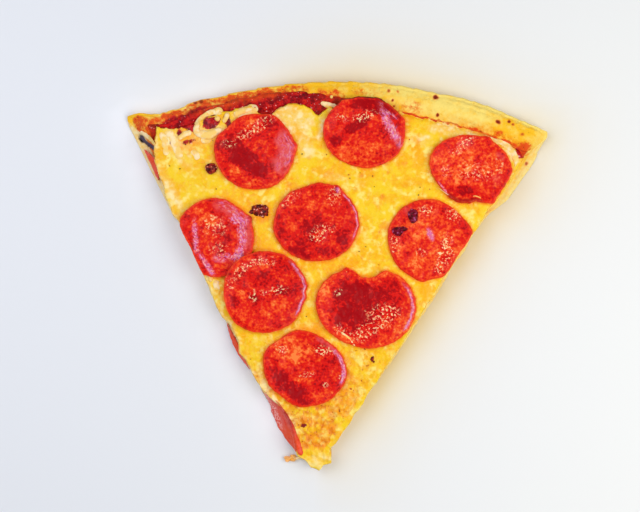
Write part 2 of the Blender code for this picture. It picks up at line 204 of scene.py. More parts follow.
def relief(x, y, size, seed, octaves=1):
    """Soft random relief between about -1 and 1, with features of about the given size."""
    total = np.zeros(np.broadcast(x, y).shape)
    for octave in range(octaves):
        angles = np.random.default_rng(seed + octave).uniform(0.0, 2.0 * np.pi, (LATTICE, LATTICE))
        u = x * 2.0**octave / size + 61.7
        v = y * 2.0**octave / size + 37.3
        column = np.floor(u).astype(int)
        row = np.floor(v).astype(int)
        across = u - column
        along = v - row
        fade_u = soft_step(0.0, 1.0, across)
        fade_v = soft_step(0.0, 1.0, along)
        corner = {}
        for right in (0, 1):
            for up in (0, 1):
                angle = angles[(column + right) % LATTICE, (row + up) % LATTICE]
                slope = (across - right) * np.cos(angle) + (along - up) * np.sin(angle)
                corner[right, up] = slope
        low = mix(corner[0, 0], corner[1, 0], fade_u)
        high = mix(corner[0, 1], corner[1, 1], fade_u)
        total += mix(low, high, fade_v) * 1.5 * 0.5**octave
    return total


def place(radius, bearing):
    """Points at radii and bearings from the pizza's middle, in the slice's own frame."""
    angle = np.radians(bearing)
    x = PIZZA_MIDDLE[0] + radius * np.sin(angle)
    y = PIZZA_MIDDLE[1] + radius * np.cos(angle)
    return x, y


def polar(x, y, middle=PIZZA_MIDDLE):
    """Radii and bearings of points from a middle."""
    away_x = x - middle[0]
    away_y = y - middle[1]
    return np.hypot(away_x, away_y), np.degrees(np.arctan2(away_x, away_y))


def apart(x, y, spot_x, spot_y):
    """Distances of points from a spot that is given from the pizza's middle."""
    return np.hypot(x - PIZZA_MIDDLE[0] - spot_x, y - PIZZA_MIDDLE[1] - spot_y)


def soften(grid, cells, wrap=False):
    """Blurs a grid along both its directions."""
    reach = int(3 * cells)
    weights = np.exp(-0.5 * (np.arange(-reach, reach + 1) / cells) ** 2)
    weights /= weights.sum()
    for axis in (0, 1):
        mode = "wrap" if wrap and axis == 1 else "edge"
        width = [(reach, reach) if axis == side else (0, 0) for side in (0, 1)]
        padded = np.pad(grid, width, mode=mode)
        parts = [
            weight * np.take(padded, range(k, k + grid.shape[axis]), axis=axis)
            for k, weight in enumerate(weights)
        ]
        grid = sum(parts)
    return grid


class Scan:
    """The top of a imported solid, felt from above along rays round a middle point."""

    def __init__(self, node, middle, radii, bearings, softness=3.0, wrap=False):
        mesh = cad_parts[node].data
        points = [vertex.co / MM for vertex in mesh.vertices]
        tree = BVHTree.FromPolygons(points, [polygon.vertices[:] for polygon in mesh.polygons])
        self.radii = radii
        self.bearings = bearings
        heights = np.full((len(radii), len(bearings)), np.nan)
        for column, bearing in enumerate(bearings):
            sine = math.sin(math.radians(bearing))
            cosine = math.cos(math.radians(bearing))
            for row, radius in enumerate(radii):
                start = Vector((middle[0] + radius * sine, middle[1] + radius * cosine, 50.0))
                hit = tree.ray_cast(start, Vector((0.0, 0.0, -1.0)))[0]
                if hit is not None:
                    heights[row, column] = hit.z
        self.inside = ~np.isnan(heights)
        rows = self.inside.any(axis=1)
        filled = np.zeros(heights.shape)
        for row in np.flatnonzero(rows):
            held = self.inside[row]
            filled[row] = np.interp(bearings, bearings[held], heights[row, held])
        for column in range(len(bearings)):
            filled[:, column] = np.interp(radii, radii[rows], filled[rows, column])
        self.smooth = soften(filled, softness, wrap)

    def cell(self, radius, bearing):
        """Where radii and bearings fall in the scan, as rows and columns."""
        row = (radius - self.radii[0]) / (self.radii[1] - self.radii[0])
        column = (bearing - self.bearings[0]) / (self.bearings[1] - self.bearings[0])
        return row, column

    def height(self, radius, bearing):
        """The softened height at radii and bearings."""
        row, column = self.cell(radius, bearing)
        row = np.clip(row, 0.0, len(self.radii) - 1.001)
        column = np.clip(column, 0.0, len(self.bearings) - 1.001)
        low = row.astype(int)
        left = column.astype(int)
        right = column - left
        grid = self.smooth
        below = mix(grid[low, left], grid[low, left + 1], right)
        above = mix(grid[low + 1, left], grid[low + 1, left + 1], right)
        return mix(below, above, row - low)

    def holds(self, radius, bearing):
        """Whether the solid lies at radii and bearings."""
        row, column = (np.round(cell).astype(int) for cell in self.cell(radius, bearing))
        held = (row >= 0) & (row < len(self.radii))
        held &= (column >= 0) & (column < len(self.bearings))
        held[held] = self.inside[row[held], column[held]]
        return held

    def reach(self, bearing):
        """The outermost radius of the solid along bearings."""
        rows = len(self.radii) - 1 - np.argmax(self.inside[::-1], axis=0)
        edge = np.where(self.inside.any(axis=0), self.radii[rows], np.nan)
        known = ~np.isnan(edge)
        return np.interp(bearing, self.bearings[known], edge[known])

    def sides(self, radius):
        """The first and last bearing of the solid at radii."""
        rows = self.inside.any(axis=1)
        first = self.bearings[np.argmax(self.inside, axis=1)][rows]
        last = self.bearings[::-1][np.argmax(self.inside[:, ::-1], axis=1)][rows]
        radii = self.radii[rows]
        return np.interp(radius, radii, first), np.interp(radius, radii, last)


class Disc(NamedTuple):
    """A slice of pepperoni as it lies: its solid's name, its middle, a scan and a seed."""

    name: str
    middle: tuple
    scan: Scan
    seed: int

    def edge(self, bearing):
        """How far the baked slice reaches along bearings, with its corners and notches."""
        waver = relief(bearing / 9.0, bearing * 0.0, 4.0, self.seed, 3)
        edge = self.scan.reach(bearing) + 0.3 * waver
        for corner, extra, width in LOOKS[self.name].corners:
            edge = edge + extra * bell(turned(bearing + FACING, corner), 0.0, width)
        return edge

    def beyond(self, x, y):
        """Distance beyond the slice's edge, negative inside it."""
        radius, bearing = polar(x, y, self.middle)
        return radius - self.edge(bearing)


def scan_layer(node):
    """A scan of a layer that runs through the slice."""
    radii = np.arange(8.0, 190.0, 0.6)
    bearings = np.arange(-34.0, 42.0, 0.18)
    return Scan(node, PIZZA_MIDDLE, radii, bearings)


def scan_disc(node):
    """A scan of one slice of pepperoni."""
    low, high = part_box(node)
    middle = ((low[0] + high[0]) / 2.0 / MM, (low[1] + high[1]) / 2.0 / MM)
    radii = np.arange(0.0, 24.0, 0.3)
    bearings = np.arange(-180.0, 181.0, 3.0)
    scan = Scan(node, middle, radii, bearings, 4.0, wrap=True)
    return Disc(node, middle, scan, 100 + 7 * PEPPERONI_NODES.index(node))


DOUGH = scan_layer("dough")
SAUCE = scan_layer("tomato_sauce")
CHEESE = scan_layer("cheese")
DISCS = [scan_disc(node) for node in PEPPERONI_NODES]


def by_discs(x, y):
    """Distance beyond the nearest pepperoni's edge."""
    nearest = np.full(x.shape, np.inf)
    for disc in DISCS:
        near = polar(x, y, disc.middle)[0] < 34.0
        nearest[near] = np.minimum(nearest[near], disc.beyond(x[near], y[near]))
    return nearest


# Modelling helpers ---------------------------------------------------------------------------


def start_grid(name, columns, rows):
    """A grid primitive, with each point's share of the way across and along it."""
    bpy.ops.object.select_all(action="DESELECT")
    bpy.ops.mesh.primitive_grid_add(x_subdivisions=columns, y_subdivisions=rows, size=2.0)
    piece = bpy.context.object
    piece.name = name
    piece.data.name = name
    points = read_points(piece)
    return piece, points[:, 0], (points[:, 1] + 1.0) / 2.0


def read_points(piece):
    """A mesh's points, in its own units."""
    points = np.empty(len(piece.data.vertices) * 3)
    piece.data.vertices.foreach_get("co", points)
    return points.reshape(-1, 3)


def write_points(piece, points):
    """Moves all of a mesh's points."""
    piece.data.vertices.foreach_set("co", np.asarray(points, dtype=float).ravel())
    piece.data.update()


def chosen_points(piece):
    """Which points of a mesh are selected."""
    chosen = np.zeros(len(piece.data.vertices), dtype=bool)
    piece.data.vertices.foreach_get("select", chosen)
    return chosen


def extrude_border(piece, move, steps):
    """Extrudes the open border once for each step and moves each new ring of points."""
    for step in steps:
        bpy.ops.object.mode_set(mode="EDIT")
        bpy.ops.mesh.select_mode(type="EDGE")
        bpy.ops.mesh.select_all(action="DESELECT")
        bpy.ops.mesh.select_non_manifold(
            extend=False,
            use_wire=False,
            use_boundary=True,
            use_multi_face=False,
            use_non_contiguous=False,
            use_verts=False,
        )
        bpy.ops.mesh.extrude_edges_move()
        bpy.ops.object.mode_set(mode="OBJECT")
        points = read_points(piece)
        chosen = chosen_points(piece)
        points[chosen] = np.column_stack(move(*points[chosen].T, step))
        write_points(piece, points)


def close_border():
    """Gathers the chosen last ring of points into one, which closes the mesh."""
    bpy.ops.object.mode_set(mode="EDIT")
    bpy.ops.mesh.merge(type="CENTER")
    bpy.ops.object.mode_set(mode="OBJECT")


def blank(name, segments, rings):
    """A closed skin to shape: a filled circle, its border extruded up ring by ring and closed."""
    bpy.ops.object.select_all(action="DESELECT")
    bpy.ops.mesh.primitive_circle_add(vertices=segments, radius=1.0, fill_type="TRIFAN")
    piece = bpy.context.object
    piece.name = name
    bpy.ops.object.mode_set(mode="EDIT")
    bpy.ops.mesh.select_mode(type="EDGE")
    bpy.ops.mesh.region_to_loop()
    for _ in range(rings):
        bpy.ops.mesh.extrude_edges_move(TRANSFORM_OT_translate={"value": (0.0, 0.0, 1.0)})
    bpy.ops.mesh.merge(type="CENTER")
    bpy.ops.object.mode_set(mode="OBJECT")
    return piece


def copy_of(blank_piece, name):
    """A copy with its own mesh, made the active object."""
    piece = blank_piece.copy()
    piece.data = blank_piece.data.copy()
    piece.name = name
    piece.data.name = name
    bpy.context.scene.collection.objects.link(piece)
    bpy.ops.object.select_all(action="DESELECT")
    piece.select_set(True)
    bpy.context.view_layer.objects.active = piece
    return piece


def blank_shares(points, under_rings, side_rings, top_rings):
    """A blank's points as shares: of the way out from the axis, and down from the face."""
    ring = points[:, 2]
    middle = np.hypot(points[:, 0], points[:, 1]) < 0.5
    under = np.where(middle & (ring < 1.0), 0.0, (ring + 1.0) / (under_rings + 1.0))
    below = ring < under_rings
    side = np.clip((ring - under_rings) / side_rings, 0.0, 1.0)
    face = np.clip((ring - under_rings - side_rings) / top_rings, 0.0, 1.0)
    share = np.where(below, np.clip(under, 0.0, 1.0), 1.0 - face)
    return share, 1.0 - side


def finish_mesh(piece):
    """Turns faces outwards, scales the mesh to metres and shades it smooth."""
    bpy.ops.object.mode_set(mode="EDIT")
    bpy.ops.mesh.select_mode(type="VERT")
    bpy.ops.mesh.select_all(action="SELECT")
    bpy.ops.mesh.dissolve_degenerate(threshold=0.0005)
    bpy.ops.mesh.normals_make_consistent(inside=False)
    bpy.ops.object.mode_set(mode="OBJECT")
    write_points(piece, read_points(piece) * MM)
    bpy.ops.object.shade_smooth()


def paint(piece, name, red, green=0.0, blue=0.0):
    """Stores up to three masks over a piece's points for its material to read."""
    count = len(piece.data.vertices)
    masks = np.ones((count, 4))
    for channel, values in enumerate((red, green, blue)):
        masks[:, channel] = np.clip(values, 0.0, 1.0)
    layer = piece.data.color_attributes.new(name=name, type="FLOAT_COLOR", domain="POINT")
    layer.data.foreach_set("color", masks.ravel())


def settle(piece, slot, material, *nodes):
    """Gives a piece its material, hangs it under the root and hides the solids that it stands for.
    """
    piece.data.materials.clear()
    piece.data.materials.append(material)
    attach(piece, "root")
    if nodes:
        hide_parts(*nodes)


# Material helpers ----------------------------------------------------------------------------


class Term:
    """A value inside a material. Arithmetic on it adds the Math nodes that work it out."""

    def __init__(self, finish, socket):
        self.finish = finish
        self.socket = socket

    def maths(self, operation, *others):
        """One Math node on this value and others."""
        values = dict(enumerate((self, *others)))
        return self.finish.node("ShaderNodeMath", {"operation": operation}, values)

    def __add__(self, other):
        return self.maths("ADD", other)

    def __sub__(self, other):
        return self.maths("SUBTRACT", other)

    def __mul__(self, other):
        return self.maths("MULTIPLY", other)

    def __rsub__(self, other):
        return (self * -1.0).maths("ADD", other)

    def __abs__(self):
        return self.maths("ABSOLUTE")

    __radd__ = __add__
    __rmul__ = __mul__

    def ramp(self, low, high):
        """0 at low and 1 at high, with a soft curve between."""
        values = {"Value": self, "From Min": low, "From Max": high}
        settings = {"interpolation_type": "SMOOTHSTEP", "clamp": True}
        return self.finish.node("ShaderNodeMapRange", settings, values)

    def clamped(self):
        """The value held between 0 and 1."""
        return self.finish.node("ShaderNodeClamp", {}, {"Value": self})


class Finish:
    """A material that is being built round its Principled shader."""

    def __init__(self, name, **constants):
        self.material = bpy.data.materials.new(name)
        self.material.use_nodes = True
        self.tree = self.material.node_tree
        self.shader = self.tree.nodes["Principled BSDF"]
        self.colour = None
        self.coordinates = self.node("ShaderNodeTexCoord", {}, {}, "Object")
        for socket, value in constants.items():
            self.shader.inputs[socket.replace("_", " ")].default_value = value

    def node(self, kind, settings, values, output=0):
        """Adds any node: its settings first, then its sockets' values or links."""
        node = self.tree.nodes.new(kind)
        for key, value in settings.items():
            setattr(node, key, value)
        for socket, value in values.items():
            self.feed(node.inputs[socket], value)
        return Term(self, node.outputs[output])

    def feed(self, socket, value):
        """Links a term to a socket, or sets the socket's value."""
        if isinstance(value, Term):
            self.tree.links.new(value.socket, socket)
        else:
            socket.default_value = value

    def grain(self, size, detail=2.0, roughness=0.5, shift=0.0, along=None):
        """Noise between 0 and 1 with features of about the given size in millimetres."""
        settings = {"vector_type": "POINT"}
        values = {"Vector": along or self.coordinates, "Location": (shift, 0.0, 0.0)}
        vector = self.node("ShaderNodeMapping", settings, values)
        values = {
            "Vector": vector,
            "Scale": 1.0 / (size * MM),
            "Detail": detail,
            "Roughness": roughness,
        }
        return self.node("ShaderNodeTexNoise", {}, values)

    def cells(self, size):
        """Distances to scattered points about the given size apart, in shares of that size."""
        values = {"Vector": self.coordinates, "Scale": 1.0 / (size * MM)}
        return self.node("ShaderNodeTexVoronoi", {}, values, "Distance")

    def painted(self, name, output):
        """What is painted on the piece under a name."""
        settings = {"attribute_type": "GEOMETRY", "attribute_name": name}
        return self.node("ShaderNodeAttribute", settings, {}, output)

    def masks(self, name):
        """The three masks that are painted on the piece."""
        split = self.node("ShaderNodeSeparateColor", {}, {"Color": self.painted(name, "Color")})
        node = split.socket.node
        return [Term(self, node.outputs[index]) for index in range(3)]

    def blend(self, first, second, share):
        """A colour between two others, each of which may be a name; the share is held to 0-1."""
        settings = {"data_type": "RGBA", "clamp_factor": True}
        values = {0: share, 6: shade(first), 7: shade(second)}
        return self.node("ShaderNodeMix", settings, values, 2)

    def coat(self, over, share=None):
        """Lays a colour over what is there so far. The first one needs no share."""
        self.colour = shade(over) if share is None else self.blend(self.colour, over, share)

    def bump(self, height, depth):
        """Raises the surface's shading by a height, for a depth in millimetres."""
        values = {"Height": height, "Distance": depth * MM, "Strength": 1.0}
        self.feed(self.shader.inputs["Normal"], self.node("ShaderNodeBump", {}, values))

    def give(self, **links):
        """Feeds the shader's colour and its other varying sockets, and hands over the material."""
        self.feed(self.shader.inputs["Base Color"], self.colour)
        for socket, value in links.items():
            self.feed(self.shader.inputs[socket.replace("_", " ")], value)
        return self.material


# Materials -----------------------------------------------------------------------------------


def cheese_finish():
    """Melted cheese: yellow, stained orange by oil, pale where thin and toasted in spots, with
    painted highlights and painted shade in its dips.
    """
    finish = Finish("melted_cheese", Specular_IOR_Level=0.2)
    orange, pale, toast = finish.masks("zones")
    creases_and_shade, milky, red = finish.masks("more")
    patches = finish.grain(8.0, 2.0, 0.5)
    pools = finish.grain(3.4, 1.0, 0.5, shift=0.6)
    stains = finish.grain(8.0, 2.0, 0.55, shift=0.4)
    flecks = finish.grain(1.5, 2.0, 0.6, shift=0.3)
    dots = finish.cells(9.0)
    finish.coat("cheese_gold")
    finish.coat("cheese", (patches + (flecks - 0.5) * 0.4).ramp(0.3, 0.62))
    spot = (1.0 - dots.ramp(0.05, 0.17)) * stains.ramp(0.4, 0.6) * 0.7
    oil = (orange + stains.ramp(0.56, 0.74) * 0.55 + spot + (0.4 - flecks) * 0.9).clamped()
    finish.coat("cheese_orange", oil)
    # Painted highlights: pale pools laid on as colour, fewer where the cheese is oily.
    light = pools.ramp(0.5, 0.72) * flecks.ramp(0.25, 0.55) * (1.0 - oil * 0.7)
    finish.coat("cheese_highlight", light)
    finish.coat("cheese_pale", pale * (0.2 + pools * 1.1) + (flecks - 0.5) * pale * 1.6)
    whitish = pools.ramp(0.46, 0.66) + flecks.ramp(0.5, 0.7) * 0.4
    finish.coat("cheese_white", pale * whitish * 0.55)
    # Browned creases and painted shade in the dips of the low cheese.
    finish.coat("rust_and_shade", creases_and_shade * (0.4 + flecks * 0.9))
    specks = (1.0 - flecks.ramp(0.28, 0.36)) * creases_and_shade.ramp(0.0, 0.3)
    finish.coat("burnt", specks * 0.8)
    finish.coat("toast", toast)
    # Milky flecks on the low cheese, in the same pale colour as the painted highlights.
    finish.coat("cheese_highlight", milky * flecks.ramp(0.35, 0.6))
    bare = red + (flecks - 0.5) * red.ramp(0.0, 0.4)
    finish.coat(saucy(finish), bare.ramp(0.3, 0.62))
    finish.bump(flecks * 0.6 + patches * 0.6, 0.6)
    return finish.give(Roughness=flecks * 0.3 + 0.1)


def pepperoni_finish():
    """Oily sausage: red and crimson meat with orange flecks of fat, painted pink and pale sheen
    along its edges and painted glints where it is oily.
    """
    finish = Finish("pepperoni", Specular_IOR_Level=0.12, Coat_Roughness=0.12)
    deep, pink, char = finish.masks("zones")
    orange, oil, edge = finish.masks("more")
    sheen, _, _ = finish.masks("sheen")
    meat = finish.grain(5.5, 2.0, 0.5)
    grain = finish.grain(1.8, 2.0, 0.55, shift=0.7)
    fine = finish.grain(1.0, 1.0, 0.5, shift=0.2)
    worms = finish.grain(1.7, 1.0, 0.5, shift=0.9)
    streaks = finish.grain(2.2, 2.0, 0.6, along=finish.painted("flow", "Vector"))
    tone = 0.52 + (meat - 0.5) * 1.3 + (grain - 0.5) * 1.5 + (fine - 0.5) * 1.1
    tone = tone + orange * 0.45 - deep * 0.55
    finish.coat("sausage_deep")
    finish.coat("sausage", tone.ramp(0.0, 0.5))
    finish.coat("sausage_fat", tone.ramp(0.55, 0.95) * 0.9)
    finish.coat("fat_fleck", tone.ramp(0.95, 1.25) * 0.8)
    finish.coat("maroon", (1.0 - fine.ramp(0.27, 0.38)) * (1.0 - meat.ramp(0.42, 0.55)) * 0.5)
    # Painted sheen: pink reflections along the slices' edges, then pale streaks of reflected light
    # over them.
    finish.coat("pink_sheen", pink * (0.35 + grain.ramp(0.35, 0.6) * 0.6))
    paler = finish.blend("lavender_sheen", "glint", fine.ramp(0.44, 0.62) * 0.8)
    dashes = sheen * (streaks.ramp(0.42, 0.6) + sheen.ramp(0.8, 1.0) * 0.3)
    finish.coat(paler, dashes.clamped() * 0.75)
    lines = 1.0 - abs(worms - 0.5).ramp(0.01, 0.045)
    # Painted glints: pale specks and wormy lines of reflected light laid on as colour where the
    # meat is oily.
    beads = oil * fine.ramp(0.42, 0.58) * (lines + fine.ramp(0.62, 0.7))
    finish.coat("oil_glints", beads.clamped() * 0.9)
    finish.coat("sausage_fat", edge * 0.45)
    finish.coat("char", char)
    height = grain * 0.6 + fine * 0.4 + lines * 0.1
    finish.bump(height * (0.12 + oil * 0.3 + sheen * 0.15), 1.3)
    wet = (oil * 0.3 + sheen * 0.25).clamped()
    return finish.give(Roughness=0.35 - wet * 0.5, Coat_Weight=wet)


def saucy(finish):
    """The colours of cooked tomato: crimson pulp with dark specks and wet glints."""
    pulp = finish.grain(1.8, 3.0, 0.65, shift=0.1)
    fine = finish.grain(0.9, 1.0, 0.5, shift=0.35)
    patches = finish.grain(5.0, 2.0, 0.6, shift=0.5)
    tone = 0.5 + (pulp - 0.5) * 2.6 + (patches - 0.5) * 1.8
    tomato = finish.blend("sauce_dark", "sauce", tone.ramp(0.0, 0.9))
    tomato = finish.blend(tomato, "crust_orange", pulp.ramp(0.58, 0.72) * 0.5)
    tomato = finish.blend(tomato, "char", 1.0 - fine.ramp(0.27, 0.34))
    return finish.blend(tomato, "glint", fine.ramp(0.69, 0.75) * 0.7)


def sauce_finish():
    """Cooked tomato sauce: grainy dark red, brighter and orange along its edges."""
    finish = Finish("tomato_sauce", Specular_IOR_Level=0.1)
    bright, _, _ = finish.masks("zones")
    pulp = finish.grain(1.8, 3.0, 0.65, shift=0.1)
    fine = finish.grain(0.7, 2.0, 0.6, shift=0.2)
    finish.coat(saucy(finish))
    finish.coat("crust_orange", bright * (0.4 + pulp * 1.1))
    finish.bump(pulp * 0.7 + fine * 0.4, 0.45)
    return finish.give(Roughness=fine * 0.5 + 0.15)


def crust_finish():
    """Baked dough: golden rim, pale porous crumb on the cut sides and a browned floury base."""
    finish = Finish("baked_crust", Specular_IOR_Level=0.15)
    orange, crumb, char = finish.masks("zones")
    base, golden, hollow = finish.masks("more")
    sauced, _, _ = finish.masks("extra")
    patches = finish.grain(5.0, 3.0, 0.6)
    flecks = finish.grain(1.5, 3.0, 0.65)
    fine = finish.grain(0.8, 2.0, 0.6, shift=0.2)
    pores = finish.cells(1.3)
    finish.coat("crust")
    finish.coat("crust_golden", golden + (patches - 0.52) * 2.4 + (flecks - 0.5) * 1.1)
    mottle = (patches - 0.5) * 2.4 + (flecks - 0.5) * 2.8
    finish.coat("crust_orange", orange + mottle * orange.ramp(0.0, 0.4))
    finish.coat(saucy(finish), sauced + (flecks - 0.5) * sauced.ramp(0.0, 0.5))
    finish.coat("char", (1.0 - fine.ramp(0.28, 0.36)) * (orange * 0.7 + golden * 0.25 + 0.04))
    finish.coat(finish.blend("crumb", "crust_golden", flecks.ramp(0.4, 0.7) * 0.6), crumb)
    floury = finish.blend("underside", "crumb", flecks.ramp(0.45, 0.75) * 0.6)
    finish.coat(finish.blend(floury, "toast", patches.ramp(0.55, 0.8) * 0.55), base)
    finish.coat("crust_orange", char.ramp(0.0, 0.5) * 0.7)
    finish.coat("rim_spot", char.ramp(0.3, 0.8))
    # Painted shade in the slit under the crust's corner.
    finish.coat("hollow", hollow)
    finish.bump(flecks * 0.6 + pores.ramp(0.0, 0.5) * 0.3 + fine * 0.3, 0.4)
    return finish.give(Roughness=flecks * 0.3 + 0.4)


def burnt_finish():
    """Burnt bits: near black, with rusty high spots."""
    finish = Finish("burnt_bits", Specular_IOR_Level=0.15)
    flecks = finish.grain(1.6, 2.0, 0.6)
    fine = finish.grain(0.9, 1.0, 0.5, shift=0.2)
    finish.coat("char")
    finish.coat("burnt", flecks.ramp(0.4, 0.6))
    finish.coat("toast", fine.ramp(0.56, 0.66) * 0.7)
    finish.coat("glint", fine.ramp(0.66, 0.72) * 0.8)
    finish.bump(flecks * 0.7 + fine * 0.3, 0.4)
    return finish.give(Roughness=flecks * 0.4 + 0.1)


def offcut_finish():
    """Sausage that was cut through: pink and dull, redder along its edges, with painted glints
    along one side.
    """
    finish = Finish("cut_pepperoni", Specular_IOR_Level=0.15)
    orange, glinting, inner = finish.masks("zones")
    meat = finish.grain(3.0, 3.0, 0.6)
    grain = finish.grain(1.3, 3.0, 0.65, shift=0.7)
    fine = finish.grain(0.8, 1.0, 0.5, shift=0.2)
    finish.coat("offcut")
    finish.coat("sausage_fat", orange + (meat - 0.5) * 1.2 + (grain - 0.5) * 1.2)
    finish.coat("sausage", grain.ramp(0.5, 0.66) * 0.5)
    finish.coat("sausage_deep", inner * (0.2 + meat * 0.6))
    # Painted glints, laid on as colour along one side of the offcut.
    finish.coat("glint", glinting * fine.ramp(0.42, 0.58) * 0.6)
    finish.bump(grain * 0.5 + fine * 0.3, 0.4)
    return finish.give(Roughness=fine * 0.3 + 0.25)


def shreds_finish():
    """Pale, half-melted cheese with a little rosy oil on it."""
    finish = Finish("cheese_shreds", Specular_IOR_Level=0.2)
    rosy, _, _ = finish.masks("zones")
    patches = finish.grain(3.0, 2.0, 0.5)
    fine = finish.grain(1.1, 2.0, 0.6, shift=0.2)
    finish.coat("cheese_pale")
    finish.coat("shred", patches.ramp(0.42, 0.62))
    finish.coat("cheese_orange", (rosy + (0.42 - fine) * 2.2).clamped() * 0.7)
    finish.bump(patches * 0.6 + fine * 0.3, 0.4)
    return finish.give(Roughness=fine * 0.4 + 0.2)


def blister_finish():
    """A burnt blister: maroon to black, glossy, with painted lavender glints."""
    finish = Finish("blister", Specular_IOR_Level=0.1)
    flecks = finish.grain(1.4, 1.0, 0.5)
    finish.coat("char")
    finish.coat("blister", flecks.ramp(0.34, 0.5))
    # Painted glints: pale lavender specks of reflected light.
    finish.coat("lavender_sheen", flecks.ramp(0.62, 0.7) * 0.35)
    finish.bump(flecks, 0.3)
    return finish.give(Roughness=flecks * 0.3 + 0.1)


def fleck_finish():
    """Dried herb: nearly black, some of it brown."""
    finish = Finish("herb_flecks", Specular_IOR_Level=0.2, Roughness=0.6)
    finish.coat("char")
    finish.coat("toast", finish.grain(5.0, 2.0, 0.5).ramp(0.45, 0.6))
    return finish.give()


# Pieces --------------------------------------------------------------------------------------


class Patch(NamedTuple):
    """A patch of colour: its place, half-sizes, turn and strength."""

    x: float
    y: float
    wide: float
    deep: float
    turn: float = 0.0
    strength: float = 1.0

    def far(self, x, y):
        """How far points lie from the patch's middle, in shares of its half-sizes."""
        angle = math.radians(self.turn)
        away_x = x - self.x
        away_y = y - self.y
        across = away_x * math.cos(angle) + away_y * math.sin(angle)
        up = away_y * math.cos(angle) - away_x * math.sin(angle)
        return np.hypot(across / self.wide, up / self.deep)


def patched(patches, x, y, seed):
    """How strongly patches cover points of the slice, with ragged borders."""
    ragged = 0.35 * relief(x, y, 4.0, seed, 3)
    cover = np.zeros(x.shape)
    for patch in patches:
        far = patch.far(x - PIZZA_MIDDLE[0], y - PIZZA_MIDDLE[1])
        cover += patch.strength * soft_step(1.4, 0.4, far + ragged)
    return cover


# How far the baked dough swells out beyond its solid, in millimetres: along the two cut sides by
# radius, and along the rim by bearing.
LEFT_SWELL = (
    (12.0, 20.0, 25.0, 30.0, 46.0, 50.0, 62.0, 66.0, 84.0, 98.0, 124.0, 132.0, 168.0, 180.0),
    (-1.8, -1.6, -1.0, -0.4, 0.4, 0.1, 0.1, 1.4, 0.7, 0.0, 0.0, 1.6, 1.9, 2.0),
)
RIGHT_SWELL = (
    (10.0, 14.0, 20.0, 50.0, 58.0, 66.0, 110.0, 115.0, 124.0, 128.0, 140.0, 146.0, 172.0, 180.0),
    (-0.5, -0.5, 0.0, 0.5, 1.0, 1.3, 1.6, 0.8, 2.0, 0.8, 0.6, 1.5, 1.9, 1.0),
)
RIM_SWELL = (
    (-30.0, -27.0, -24.0, -19.0, -17.0, -10.0, 10.0, 15.0, 17.0, 23.0, 25.0, 30.0),
    (0.4, 0.2, 1.4, 1.9, 1.1, 0.8, 1.0, 0.5, 1.4, 1.5, 0.9, 1.6),
)

# The bearings just inside the corners, of the dough and of the layers on it. A solid's reach is
# not felt beyond them, where its sides would count as its rim.
CORNERS = (-28.4, 29.0)
LAYER_CORNERS = (-26.8, 28.2)


def dough_outline(count):
    """Evenly spaced points round the dough from the tip, and how far round each one lies."""
    angles = np.radians(np.arange(0.0, 360.0, 0.25) - 180.0)
    reach = np.full(angles.shape, 5.0)
    for radius in np.arange(5.0, 130.0, 0.25):
        x = SLICE_MIDDLE[0] + radius * np.sin(angles)
        y = SLICE_MIDDLE[1] + radius * np.cos(angles)
        reach = np.where(DOUGH.holds(*polar(x, y)), radius, reach)
    x = SLICE_MIDDLE[0] + reach * np.sin(angles)
    y = SLICE_MIDDLE[1] + reach * np.cos(angles)
    x = np.append(x, x[0])
    y = np.append(y, y[0])
    run = np.append(0.0, np.cumsum(np.hypot(np.diff(x), np.diff(y))))
    even = np.linspace(0.0, run[-1], count)
    kernel = np.ones(3) / 3.0
    x = np.interp(even, run, np.convolve(np.pad(x, 1, mode="wrap"), kernel, "valid"))
    y = np.interp(even, run, np.convolve(np.pad(y, 1, mode="wrap"), kernel, "valid"))
    radius, bearing = polar(x, y)
    first, last = DOUGH.sides(radius)
    from_side = np.radians(np.minimum(bearing - first, last - bearing)) * radius
    left = np.interp(radius, *LEFT_SWELL)
    right = np.interp(radius, *RIGHT_SWELL)
    swell = np.where(bearing < 0.0, -left, right) * soft_step(5.0, 1.0, from_side)
    at_rim = soft_step(4.0, 0.5, DOUGH.reach(np.clip(bearing, *CORNERS)) - radius)
    bearing = bearing + np.degrees(swell / radius)
    radius = radius + at_rim * np.interp(bearing, *RIM_SWELL)
    return *place(radius, bearing), even


CRUST_COLUMNS = 1150

# Rings of points up the crust's skin: under it, up its wall, over its edge and in to the middle.
CRUST_RINGS = (6, 16, 36, 14)

# The slit under the crust's left corner, dented and painted dark as shade: the ends and the
# half-width of each stretch of it.
SLIT = (
    ((-82.3, 147.4), (-81.6, 146.6), 1.2),
    ((-81.6, 146.6), (-78.6, 144.6), 0.65),
    ((-78.6, 144.6), (-74.8, 142.2), 0.8),
)

